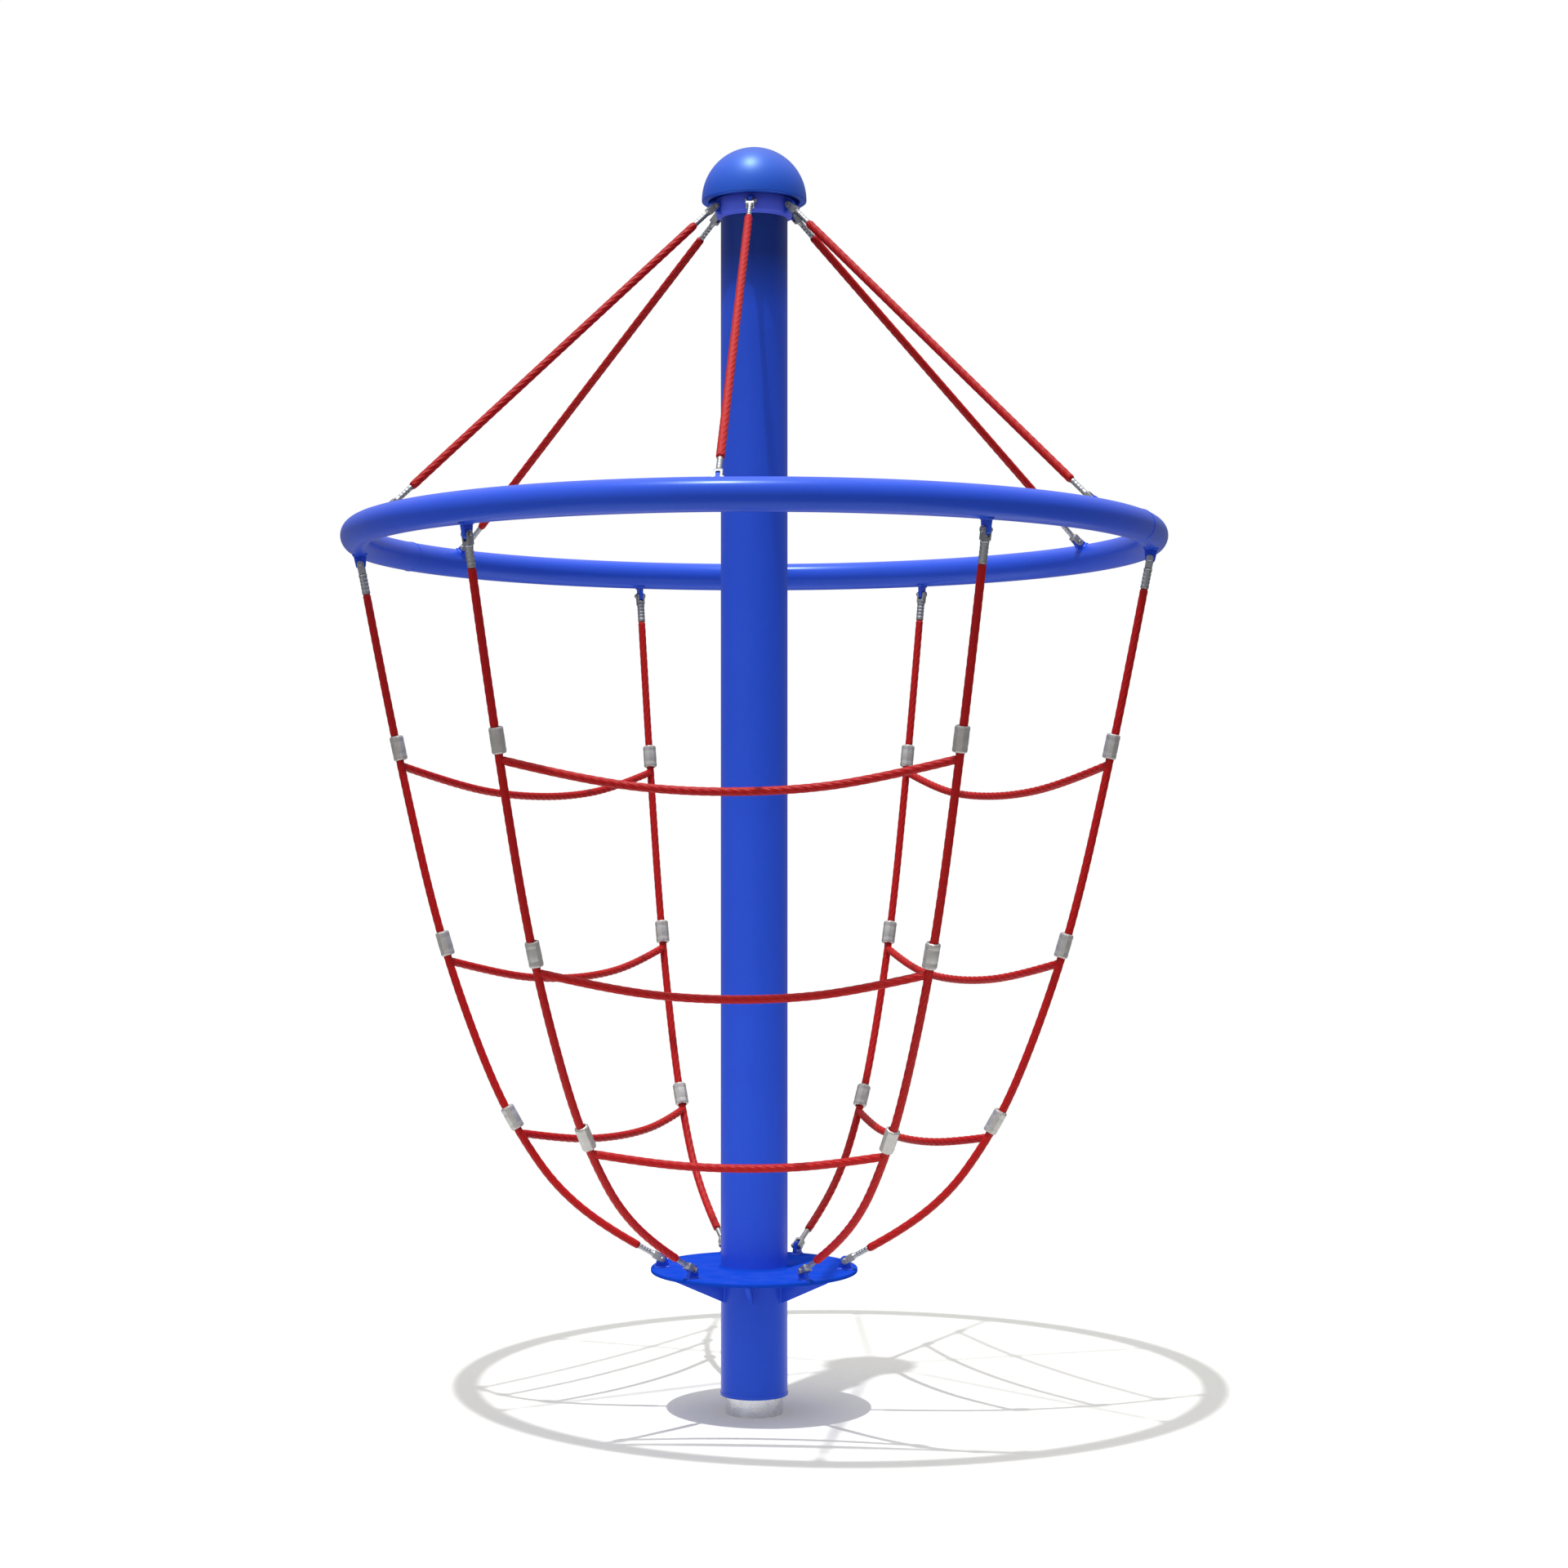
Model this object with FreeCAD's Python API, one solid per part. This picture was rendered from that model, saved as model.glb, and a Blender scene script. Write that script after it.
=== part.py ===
"""Rotating rope climber: a mast that spins on a fixed post and carries a bowl-shaped net.

Millimetres, +Z up. The origin is on the mast's axis at ground level, so the anchor lies below zero.
Everything on a meridian is drawn in the XZ plane, where X is the distance from the axis, and is then
turned about Z to its own azimuth.
"""

import FreeCAD, Part
import math
import os

V = FreeCAD.Vector
UP = V(0, 0, 1)
ACROSS = V(0, 1, 0)
OUTWARD = V(1, 0, 0)

# Ground anchor
GROUND_DEPTH = 400.0
FLANGE_SIDE = 400.0
FLANGE_THICKNESS = 20.0
FLANGE_CORNER = 15.0
ANCHOR_SPACING = 300.0
ANCHOR_HOLE = 22.0
ANCHOR_GUSSET_HEIGHT = 160.0
ANCHOR_GUSSET_REACH = 85.0
ANCHOR_GUSSET_THICKNESS = 10.0

# Fixed post and spindle
POST_DIAMETER = 114.3
POST_WALL = 6.3
POST_TOP = 80.0
HEAD_THICKNESS = 25.0
HEAD_HUB_HEIGHT = 10.0
HEAD_HUB_DIAMETER = 74.0
HEAD_CHAMFER = 3.0
SPINDLE_DIAMETER = 60.0
SPINDLE_TOP_DIAMETER = 50.0
SPINDLE_THREAD_DIAMETER = 45.0
SPINDLE_CHAMFER = 2.0
UPPER_BEARING_HEIGHT = 880.0
LOCK_WASHER_DIAMETER = 62.0
LOCK_WASHER_THICKNESS = 3.0
LOCK_NUT_HEIGHT = 14.0
LOCK_NUT_DIAMETER = 68.0
LOCK_NUT_SLOTS = 4
LOCK_NUT_SLOT_WIDTH = 7.0
LOCK_NUT_SLOT_DEPTH = 4.0
THREAD_END = 8.0

# Ball bearings: bore, outside diameter, width, ball diameter, number of balls
LOWER_BEARING = (SPINDLE_DIAMETER, 110.0, 22.0, 15.875, 10)
UPPER_BEARING = (SPINDLE_TOP_DIAMETER, 90.0, 20.0, 12.7, 10)
BALL_CLEARANCE = 0.05
RING_LAND_SHARE = 0.31
CAGE_THICKNESS = 2.0
CAGE_RIM = 2.5
CAGE_POCKET_CLEARANCE = 0.3
HOUSING_LIP = 8.0
HOUSING_LIP_DEPTH = 5.0
HOUSING_SKIRT = 8.0
CIRCLIP_THICKNESS = 2.5
CIRCLIP_DEPTH = 3.0
CIRCLIP_GAP_ANGLE = 30.0

# Mast
MAST_DIAMETER = 133.0
MAST_WALL = 5.0
MAST_BOTTOM = 37.0
MAST_TOP = 2448.0
SEAL_HEIGHT = 10.0
SEAL_ABOVE_EDGE = 8.0
RUNNING_CLEARANCE = 0.1

# Foot disc
FOOT_DIAMETER = 411.8
FOOT_THICKNESS = 8.0
FOOT_TOP = 289.6
FOOT_EDGE = 2.5
FOOT_GUSSET_REACH = 106.0
FOOT_GUSSET_DROP = 59.0
FOOT_GUSSET_TOE = 9.5
FOOT_GUSSET_THICKNESS = 8.0

# Top collar and cap
COLLAR_WALL = 9.1
COLLAR_BOTTOM = 2379.0
COLLAR_HEIGHT = 33.0
COLLAR_EDGE = 2.0
CAP_OVERHANG = 28.7
CAP_RIM_HEIGHT = 2408.0
CAP_RIM_DEPTH = 4.0
CAP_RIM_WIDTH = 14.0
CAP_RIM_CORNER = 3.0
CAP_WALL = 5.0
CAP_BOSS_DIAMETER = 34.0
TOP_PLATE_THICKNESS = 12.0
STUD_DIAMETER = 16.0
STUD_DEPTH_IN_CAP = 30.0
STUD_BELOW_PLATE = 20.0

# Hoop
HOOP_RADIUS = 785.2
HOOP_TUBE_DIAMETER = 60.3
HOOP_TUBE_WALL = 3.6
HOOP_HEIGHT = 1733.6
HOOP_SEAM_AZIMUTH = 342.0
HOOP_SLEEVE_ANGLE = 8.0

# Lugs, pins and rope terminals
LUG_THICKNESS = 8.0
LUG_END_RADIUS = 10.0
FOOT_LUG_ROOT_INWARD = 15.0
FOOT_LUG_ROOT_OUTWARD = 13.0
COLLAR_LUG_ROOT_ABOVE = 14.0
COLLAR_LUG_ROOT_BELOW = 13.0
HOOP_LUG_ROOT_HALF = 13.0
LUG_ROOT_BURIED = 4.0
LUG_TRIM_ANGLE = 6.0
PIN_DIAMETER = 8.0
PIN_HOLE_CLEARANCE = 0.2
PIN_HEAD_DIAMETER = 12.0
PIN_HEAD_HEIGHT = 3.0
PIN_TAIL = 4.5
PIN_GROOVE_DIAMETER = 6.4
CLIP_THICKNESS = 1.0
CLIP_DIAMETER = 12.0
CLIP_SIDE_GAP = 0.2
CLIP_GROOVE_CLEARANCE = 0.2
CLIP_MOUTH = 5.4
FORK_GAP_CLEARANCE = 0.5
FORK_ARM_THICKNESS = 3.5
FORK_ARM_WIDTH = 14.0
FORK_JAW_DEPTH = 13.0
FORK_BRIDGE = 8.0
FORK_SHOULDER_SHARE = 1.6
FORK_OVERRUN = 1.0
THIN_SHANK_DIAMETER = 10.5
THICK_SHANK_DIAMETER = 16.0

# Ropes
ROPE_DIAMETER = 16.0
ARC_REACH_SHARE = 0.45
RUNG_END_CLEARANCE = 0.09
SUSPENSION_COUNT = 6
PANEL_COUNT = 3
PANEL_HALF_ANGLE = 36.0
FRONT_AZIMUTH = 270.0
SUSPENSION_TERMINAL = 60.0
HOOP_TERMINAL = 60.0
FOOT_TERMINAL = 53.0
COLLAR_PIN_GAP = 10.4
COLLAR_PIN_HEIGHT = 14.1
HOOP_PIN_INWARD = 29.2
HOOP_PIN_ABOVE = 30.7
HOOP_PIN_BELOW = 47.6
HOOP_PIN_BELOW_INWARD = 4.2
FOOT_PIN_FROM_EDGE = 22.9
FOOT_PIN_ABOVE = 17.4
UPRIGHT_TOP_LEAN = 10.9
UPRIGHT_FOOT_RISE = 29.3

# The upright rope's route between its two ends, as (distance from the axis, height)
UPRIGHT_TOP_END = (769.7, 1627.1)
UPRIGHT_POINTS = [
    (731.2, 1427.0),
    (686.2, 1216.0),
    (641.2, 1019.0),
    (592.0, 849.5),
    (515.0, 645.0),
    (451.0, 531.0),
    (388.0, 445.0),
    (300.2, 372.7),
]
UPRIGHT_FOOT_END = (229.2, 332.9)

# A rung's route, as (share of the half span, share of the sag)
RUNG_POINTS = [
    (-1.0, 0.0),
    (-0.63, 0.645),
    (-0.21, 1.0),
    (0.24, 0.985),
    (0.62, 0.655),
    (1.0, 0.0),
]
# Level name, height of the joint, sag, how far the middle is drawn towards the mast
RUNG_LEVELS = [
    ("upper", 1287.1, 58.3, 22.0),
    ("middle", 900.2, 49.5, 32.0),
    ("lower", 557.5, 29.5, 35.0),
]
PANEL_NAMES = ["front", "right", "left"]

# Aluminium sleeves over the rope just above each rung's end
SLEEVE_ABOVE_JOINT = 35.0
SLEEVE_LENGTH = 49.0
SLEEVE_WIDTH = 26.5
SLEEVE_EDGE = 1.5
SLEEVE_CORNER = 0.4
SLEEVE_SIDES = 8
SLEEVE_BORE_CLEARANCE = 0.8
SLEEVE_OFFSET = 2.5

# Worked out from the sizes above
POST_RADIUS = POST_DIAMETER / 2
MAST_RADIUS = MAST_DIAMETER / 2
MAST_BORE_RADIUS = MAST_RADIUS - MAST_WALL
COLLAR_RADIUS = MAST_RADIUS + COLLAR_WALL
CAP_RADIUS = COLLAR_RADIUS + CAP_OVERHANG
HOOP_TUBE_RADIUS = HOOP_TUBE_DIAMETER / 2
HOOP_BORE_RADIUS = HOOP_TUBE_RADIUS - HOOP_TUBE_WALL
ROPE_RADIUS = ROPE_DIAMETER / 2
HEAD_BOTTOM = POST_TOP
HEAD_TOP = HEAD_BOTTOM + HEAD_THICKNESS
LOWER_BEARING_HEIGHT = HEAD_TOP + HEAD_HUB_HEIGHT
SUSPENSION_AZIMUTHS = [FRONT_AZIMUTH + 360.0 / SUSPENSION_COUNT * i for i in range(SUSPENSION_COUNT)]
PANEL_AZIMUTHS = [FRONT_AZIMUTH + 360.0 / PANEL_COUNT * i for i in range(PANEL_COUNT)]
UPRIGHT_AZIMUTHS = [
    panel + side * PANEL_HALF_ANGLE for panel in PANEL_AZIMUTHS for side in (-1, 1)
]
COLLAR_PIN = V(COLLAR_RADIUS + COLLAR_PIN_GAP, 0, COLLAR_BOTTOM + COLLAR_PIN_HEIGHT)
HOOP_UPPER_PIN = V(HOOP_RADIUS - HOOP_PIN_INWARD, 0, HOOP_HEIGHT + HOOP_PIN_ABOVE)
HOOP_LOWER_PIN = V(HOOP_RADIUS - HOOP_PIN_BELOW_INWARD, 0, HOOP_HEIGHT - HOOP_PIN_BELOW)
FOOT_PIN = V(FOOT_DIAMETER / 2 - FOOT_PIN_FROM_EDGE, 0, FOOT_TOP + FOOT_PIN_ABOVE)


def export(shape, name):
    """Writes one node's solids to its own file."""
    shape.exportStep("parts/" + name + ".step")


def group(shapes):
    """Keeps separate solids together as one node."""
    return Part.makeCompound([solid for shape in shapes for solid in shape.Solids])


def turned(shape, azimuth):
    """A copy of a shape drawn in the XZ plane, turned about the mast's axis."""
    copy = shape.copy()
    copy.rotate(V(0, 0, 0), UP, azimuth)
    return copy


def around(shape, azimuths):
    """One copy of the shape's solids at each azimuth."""
    return group([turned(shape, azimuth) for azimuth in azimuths])


def ring(outer_radius, inner_radius, bottom, height):
    """A plain ring on the mast's axis."""
    outer = Part.makeCylinder(outer_radius, height, V(0, 0, bottom))
    return outer.cut(Part.makeCylinder(inner_radius, height, V(0, 0, bottom)))


def softened(shape, radius, edges):
    """The shape with some of its edges rounded."""
    return shape.makeFillet(radius, edges)


def round_edges_at(shape, height, radius):
    """The shape's whole circular edges of one radius at one height."""
    found = []
    for edge in shape.Edges:
        box = edge.BoundBox
        flat = box.ZLength < 0.01 and abs(box.ZMin - height) < 0.01
        if flat and abs(box.XLength / 2 - radius) < 0.01:
            found.append(edge)
    return found


def turned_profile(points):
    """A solid of revolution about the mast's axis from (radius, height) corners."""
    corners = [V(radius, 0, height) for radius, height in points]
    outline = Part.makePolygon(corners + corners[:1])
    return Part.Face(outline).revolve(V(0, 0, 0), UP, 360)


# ---------------------------------------------------------------- ground anchor


def make_anchor_flange():
    """The square plate bolted to the footing."""
    half = FLANGE_SIDE / 2
    plate = Part.makeBox(FLANGE_SIDE, FLANGE_SIDE, FLANGE_THICKNESS, V(-half, -half, -GROUND_DEPTH))
    corners = [edge for edge in plate.Edges if abs(edge.tangentAt(edge.FirstParameter).z) > 0.99]
    plate = softened(plate, FLANGE_CORNER, corners)
    for x in (-1, 1):
        for y in (-1, 1):
            place = V(x * ANCHOR_SPACING / 2, y * ANCHOR_SPACING / 2, -GROUND_DEPTH)
            plate = plate.cut(Part.makeCylinder(ANCHOR_HOLE / 2, FLANGE_THICKNESS, place))
    return plate


def make_anchor_gussets():
    """Four triangular plates between the flange and the post."""
    bottom = -GROUND_DEPTH + FLANGE_THICKNESS
    toe = ANCHOR_GUSSET_THICKNESS
    root = V(POST_RADIUS - POST_WALL / 2, 0, bottom)
    outline = Part.makePolygon(
        [
            root,
            V(POST_RADIUS + ANCHOR_GUSSET_REACH, 0, bottom),
            V(POST_RADIUS + ANCHOR_GUSSET_REACH, 0, bottom + toe),
            V(POST_RADIUS + toe, 0, bottom + ANCHOR_GUSSET_HEIGHT),
            V(root.x, 0, bottom + ANCHOR_GUSSET_HEIGHT),
            root,
        ]
    )
    plate = Part.Face(outline).extrude(ACROSS * ANCHOR_GUSSET_THICKNESS)
    plate.translate(V(0, -ANCHOR_GUSSET_THICKNESS / 2, 0))
    post = Part.makeCylinder(POST_RADIUS, GROUND_DEPTH + POST_TOP, V(0, 0, -GROUND_DEPTH))
    return around(plate.cut(post), [0, 90, 180, 270])


def make_ground_post():
    """The galvanised tube that the mast turns round."""
    bottom = -GROUND_DEPTH + FLANGE_THICKNESS
    return ring(POST_RADIUS, POST_RADIUS - POST_WALL, bottom, POST_TOP - bottom)


def make_post_head():
    """The thick disc that closes the post and holds the spindle upright."""
    hub_radius = HEAD_HUB_DIAMETER / 2
    bore = SPINDLE_DIAMETER / 2
    return turned_profile(
        [
            (bore, HEAD_BOTTOM),
            (POST_RADIUS, HEAD_BOTTOM),
            (POST_RADIUS, HEAD_TOP - HEAD_CHAMFER),
            (POST_RADIUS - HEAD_CHAMFER, HEAD_TOP),
            (hub_radius, HEAD_TOP),
            (hub_radius, LOWER_BEARING_HEIGHT),
            (bore, LOWER_BEARING_HEIGHT),
        ]
    )


def make_spindle():
    """The fixed shaft, stepped for the upper bearing and the lock nut."""
    seat_top = UPPER_BEARING_HEIGHT + UPPER_BEARING[2] + LOCK_WASHER_THICKNESS
    thread_top = seat_top + LOCK_NUT_HEIGHT + THREAD_END
    lower_length = UPPER_BEARING_HEIGHT - HEAD_BOTTOM
    lower = Part.makeCylinder(SPINDLE_DIAMETER / 2, lower_length, V(0, 0, HEAD_BOTTOM))
    seat = Part.makeCylinder(
        SPINDLE_TOP_DIAMETER / 2, seat_top - UPPER_BEARING_HEIGHT, V(0, 0, UPPER_BEARING_HEIGHT)
    )
    thread = Part.makeCylinder(SPINDLE_THREAD_DIAMETER / 2, thread_top - seat_top, V(0, 0, seat_top))
    spindle = lower.fuse([seat, thread]).removeSplitter()
    end = round_edges_at(spindle, thread_top, SPINDLE_THREAD_DIAMETER / 2)
    return spindle.makeChamfer(SPINDLE_CHAMFER, end)


def make_lock_washer():
    """The washer between the upper inner ring and the nut."""
    bottom = UPPER_BEARING_HEIGHT + UPPER_BEARING[2]
    return ring(LOCK_WASHER_DIAMETER / 2, SPINDLE_TOP_DIAMETER / 2, bottom, LOCK_WASHER_THICKNESS)


def make_lock_nut():
    """The slotted nut that holds the upper inner ring down."""
    bottom = UPPER_BEARING_HEIGHT + UPPER_BEARING[2] + LOCK_WASHER_THICKNESS
    radius = LOCK_NUT_DIAMETER / 2
    nut = ring(radius, SPINDLE_THREAD_DIAMETER / 2, bottom, LOCK_NUT_HEIGHT)
    corner = V(radius - LOCK_NUT_SLOT_DEPTH, -LOCK_NUT_SLOT_WIDTH / 2, bottom)
    slot = Part.makeBox(2 * LOCK_NUT_SLOT_DEPTH, LOCK_NUT_SLOT_WIDTH, LOCK_NUT_HEIGHT, corner)
    for i in range(LOCK_NUT_SLOTS):
        nut = nut.cut(turned(slot, 360.0 / LOCK_NUT_SLOTS * i))
    return nut


# ---------------------------------------------------------------- bearings


def bearing_sizes(bearing):
    """Pitch radius and the radii of the two lands next to the balls."""
    bore, outside, width, ball, count = bearing
    pitch = (bore + outside) / 4
    land = ball * RING_LAND_SHARE
    return pitch, pitch - land, pitch + land


def ball_groove(bearing, middle):
    """The ring-shaped tool that cuts the ball track."""
    pitch = bearing_sizes(bearing)[0]
    radius = bearing[3] / 2 + BALL_CLEARANCE
    return Part.makeTorus(pitch, radius, V(0, 0, middle))


def make_inner_ring(bearing, bottom):
    """The ring that stands still on the spindle."""
    inner_land = bearing_sizes(bearing)[1]
    plain = ring(inner_land, bearing[0] / 2, bottom, bearing[2])
    return plain.cut(ball_groove(bearing, bottom + bearing[2] / 2))


def make_outer_ring(bearing, bottom):
    """The ring that turns with the mast."""
    outer_land = bearing_sizes(bearing)[2]
    plain = ring(bearing[1] / 2, outer_land, bottom, bearing[2])
    return plain.cut(ball_groove(bearing, bottom + bearing[2] / 2))


def make_balls(bearing, bottom):
    """The balls, evenly spaced in their track."""
    pitch = bearing_sizes(bearing)[0]
    ball = Part.makeSphere(bearing[3] / 2, V(pitch, 0, bottom + bearing[2] / 2))
    return around(ball, [360.0 / bearing[4] * i for i in range(bearing[4])])


def make_cage(bearing, bottom):
    """The ring with a pocket for each ball."""
    pitch = bearing_sizes(bearing)[0]
    middle = bottom + bearing[2] / 2
    height = bearing[3] + 2 * CAGE_RIM
    cage = ring(pitch + CAGE_THICKNESS / 2, pitch - CAGE_THICKNESS / 2, middle - height / 2, height)
    pocket_radius = bearing[3] / 2 + CAGE_POCKET_CLEARANCE
    start = V(pitch - CAGE_THICKNESS, 0, middle)
    pocket = Part.makeCylinder(pocket_radius, 2 * CAGE_THICKNESS, start, OUTWARD)
    for i in range(bearing[4]):
        cage = cage.cut(turned(pocket, 360.0 / bearing[4] * i))
    return cage


def make_housing(bearing, bottom):
    """The ring pressed into the mast that carries one outer ring under its lip."""
    seat = bearing[1] / 2
    top = bottom + bearing[2]
    clip_bottom = bottom - CIRCLIP_THICKNESS
    groove = seat + CIRCLIP_DEPTH / 2
    return turned_profile(
        [
            (seat, bottom - HOUSING_SKIRT),
            (MAST_BORE_RADIUS, bottom - HOUSING_SKIRT),
            (MAST_BORE_RADIUS, top + HOUSING_LIP),
            (seat - HOUSING_LIP_DEPTH, top + HOUSING_LIP),
            (seat - HOUSING_LIP_DEPTH, top),
            (seat, top),
            (seat, bottom),
            (groove, bottom),
            (groove, clip_bottom),
            (seat, clip_bottom),
        ]
    )


def make_circlip(bearing, bottom):
    """The sprung ring in the housing's groove, under the outer ring."""
    outer = bearing[1] / 2 + CIRCLIP_DEPTH / 2
    inner = bearing[1] / 2 - CIRCLIP_DEPTH
    clip = ring(outer, inner, bottom - CIRCLIP_THICKNESS, CIRCLIP_THICKNESS)
    half_gap = outer * math.tan(math.radians(CIRCLIP_GAP_ANGLE / 2))
    corner = V(0, -half_gap, bottom - CIRCLIP_THICKNESS)
    gap = Part.makeBox(outer, 2 * half_gap, CIRCLIP_THICKNESS, corner)
    return clip.cut(gap)


# ---------------------------------------------------------------- mast, foot and cap


def make_mast_tube():
    """The turning mast."""
    return ring(MAST_RADIUS, MAST_BORE_RADIUS, MAST_BOTTOM, MAST_TOP - MAST_BOTTOM)


def make_dust_seal():
    """The ring that keeps sand out of the gap between mast and post."""
    bottom = MAST_BOTTOM + SEAL_ABOVE_EDGE
    return ring(MAST_BORE_RADIUS, POST_RADIUS + RUNNING_CLEARANCE, bottom, SEAL_HEIGHT)


def make_foot_disc():
    """The round plate that the upright ropes are anchored to."""
    radius = FOOT_DIAMETER / 2
    bottom = FOOT_TOP - FOOT_THICKNESS
    disc = ring(radius, MAST_RADIUS, bottom, FOOT_THICKNESS)
    edges = round_edges_at(disc, bottom, radius) + round_edges_at(disc, FOOT_TOP, radius)
    return softened(disc, FOOT_EDGE, edges)


def make_foot_gussets():
    """Triangular plates that hold the disc up from below."""
    top = FOOT_TOP - FOOT_THICKNESS
    root = MAST_RADIUS - MAST_WALL / 2
    outline = Part.makePolygon(
        [
            V(root, 0, top),
            V(MAST_RADIUS + FOOT_GUSSET_REACH, 0, top),
            V(MAST_RADIUS + FOOT_GUSSET_REACH, 0, top - FOOT_GUSSET_TOE),
            V(MAST_RADIUS, 0, top - FOOT_GUSSET_DROP),
            V(root, 0, top - FOOT_GUSSET_DROP),
            V(root, 0, top),
        ]
    )
    plate = Part.Face(outline).extrude(ACROSS * FOOT_GUSSET_THICKNESS)
    plate.translate(V(0, -FOOT_GUSSET_THICKNESS / 2, 0))
    mast = Part.makeCylinder(MAST_RADIUS, FOOT_TOP, V(0, 0, 0))
    return around(plate.cut(mast), SUSPENSION_AZIMUTHS)


def make_top_collar():
    """The thick ring round the mast that carries the suspension lugs."""
    collar = ring(COLLAR_RADIUS, MAST_RADIUS, COLLAR_BOTTOM, COLLAR_HEIGHT)
    edges = round_edges_at(collar, COLLAR_BOTTOM, COLLAR_RADIUS)
    return softened(collar, COLLAR_EDGE, edges)


def make_mast_top_plate():
    """The disc welded in the mast's top, tapped for the cap's stud."""
    bottom = MAST_TOP - TOP_PLATE_THICKNESS
    return ring(MAST_BORE_RADIUS, STUD_DIAMETER / 2, bottom, TOP_PLATE_THICKNESS)


def make_cap_stud():
    """The stud that holds the cap."""
    bottom = MAST_TOP - TOP_PLATE_THICKNESS - STUD_BELOW_PLATE
    length = TOP_PLATE_THICKNESS + STUD_BELOW_PLATE + STUD_DEPTH_IN_CAP
    return Part.makeCylinder(STUD_DIAMETER / 2, length, V(0, 0, bottom))


def sphere_point(radius, centre_height, distance):
    """The point of a sphere on the axis that lies at a distance from the axis, in the XZ plane."""
    return V(distance, 0, centre_height + math.sqrt(radius**2 - distance**2))


def arc_edge(start, middle, end):
    """A circular edge through three points."""
    return Part.Arc(start, middle, end).toShape()


def line_edges(points):
    """Straight edges through a list of points."""
    return [Part.LineSegment(a, b).toShape() for a, b in zip(points, points[1:])]


def make_dome_cap():
    """The hollow dome with a thick rounded rim and a tapped boss inside."""
    radius = CAP_RADIUS
    inner = radius - CAP_WALL
    centre = CAP_RIM_HEIGHT + CAP_RIM_DEPTH
    rim_inside = radius - CAP_RIM_WIDTH
    corner = CAP_RIM_CORNER
    diagonal = corner * (1 - math.cos(math.pi / 4))
    stud = STUD_DIAMETER / 2
    boss = CAP_BOSS_DIAMETER / 2
    outside_start = V(radius, 0, CAP_RIM_HEIGHT + corner)
    outside_end = V(radius - corner, 0, CAP_RIM_HEIGHT)
    inside_start = V(rim_inside + corner, 0, CAP_RIM_HEIGHT)
    inside_end = V(rim_inside, 0, CAP_RIM_HEIGHT + corner)
    dome_foot = V(radius, 0, centre)
    dome_top = V(0, 0, centre + radius)
    boss_root = sphere_point(inner, centre, boss)
    rim_top = sphere_point(inner, centre, rim_inside)
    edges = line_edges([outside_start, dome_foot])
    edges.append(arc_edge(dome_foot, sphere_point(radius, centre, radius / 2), dome_top))
    stud_end = MAST_TOP + STUD_DEPTH_IN_CAP
    bore = [V(0, 0, stud_end), V(stud, 0, stud_end), V(stud, 0, MAST_TOP), V(boss, 0, MAST_TOP)]
    edges += line_edges([dome_top] + bore + [boss_root])
    edges.append(arc_edge(boss_root, sphere_point(inner, centre, rim_inside / 2), rim_top))
    edges += line_edges([rim_top, inside_end])
    inside_middle = V(rim_inside + diagonal, 0, CAP_RIM_HEIGHT + diagonal)
    edges.append(arc_edge(inside_end, inside_middle, inside_start))
    edges += line_edges([inside_start, outside_end])
    outside_middle = V(radius - diagonal, 0, CAP_RIM_HEIGHT + diagonal)
    edges.append(arc_edge(outside_end, outside_middle, outside_start))
    return Part.Face(Part.Wire(edges)).revolve(V(0, 0, 0), UP, 360)


# ---------------------------------------------------------------- hoop


def hoop_arc(radius, start, angle):
    """A solid round bar bent to the hoop's circle, from one azimuth over an angle."""
    centre = V(HOOP_RADIUS, 0, HOOP_HEIGHT)
    section = Part.Face(Part.Wire([Part.Edge(Part.Circle(centre, ACROSS, radius))]))
    return turned(section.revolve(V(0, 0, 0), UP, angle), start)


def make_half_hoop(start):
    """Half of the rolled tube."""
    return hoop_arc(HOOP_TUBE_RADIUS, start, 180).cut(hoop_arc(HOOP_BORE_RADIUS, start, 180))


def make_hoop_joint_sleeves():
    """The two spigots inside the tube, across the welded joints."""
    sleeves = []
    for azimuth in (HOOP_SEAM_AZIMUTH, HOOP_SEAM_AZIMUTH + 180):
        start = azimuth - HOOP_SLEEVE_ANGLE / 2
        outer = hoop_arc(HOOP_BORE_RADIUS, start, HOOP_SLEEVE_ANGLE)
        inner = hoop_arc(HOOP_BORE_RADIUS - HOOP_TUBE_WALL, start, HOOP_SLEEVE_ANGLE)
        sleeves.append(outer.cut(inner))
    return group(sleeves)


# ---------------------------------------------------------------- lugs


def lug_plate(pin, root_a, root_b):
    """A plate on a meridian: a round end about the pin, drawn to two points on what it is welded to."""
    start = V(pin.x, -LUG_THICKNESS / 2, pin.z)
    end = Part.makeCylinder(LUG_END_RADIUS, LUG_THICKNESS, start, ACROSS)
    away = ((root_a + root_b) * 0.5 - pin).normalize()
    side = away.cross(ACROSS) * LUG_END_RADIUS
    if (root_a - root_b).dot(side) < 0:
        side = side * -1
    corners = [pin + side, root_a, root_b, pin - side, pin + side]
    web = Part.Face(Part.makePolygon(corners)).extrude(ACROSS * LUG_THICKNESS)
    web.translate(V(0, -LUG_THICKNESS / 2, 0))
    hole = Part.makeCylinder(PIN_DIAMETER / 2 + PIN_HOLE_CLEARANCE, LUG_THICKNESS, start, ACROSS)
    return end.fuse(web).removeSplitter().cut(hole)


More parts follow.
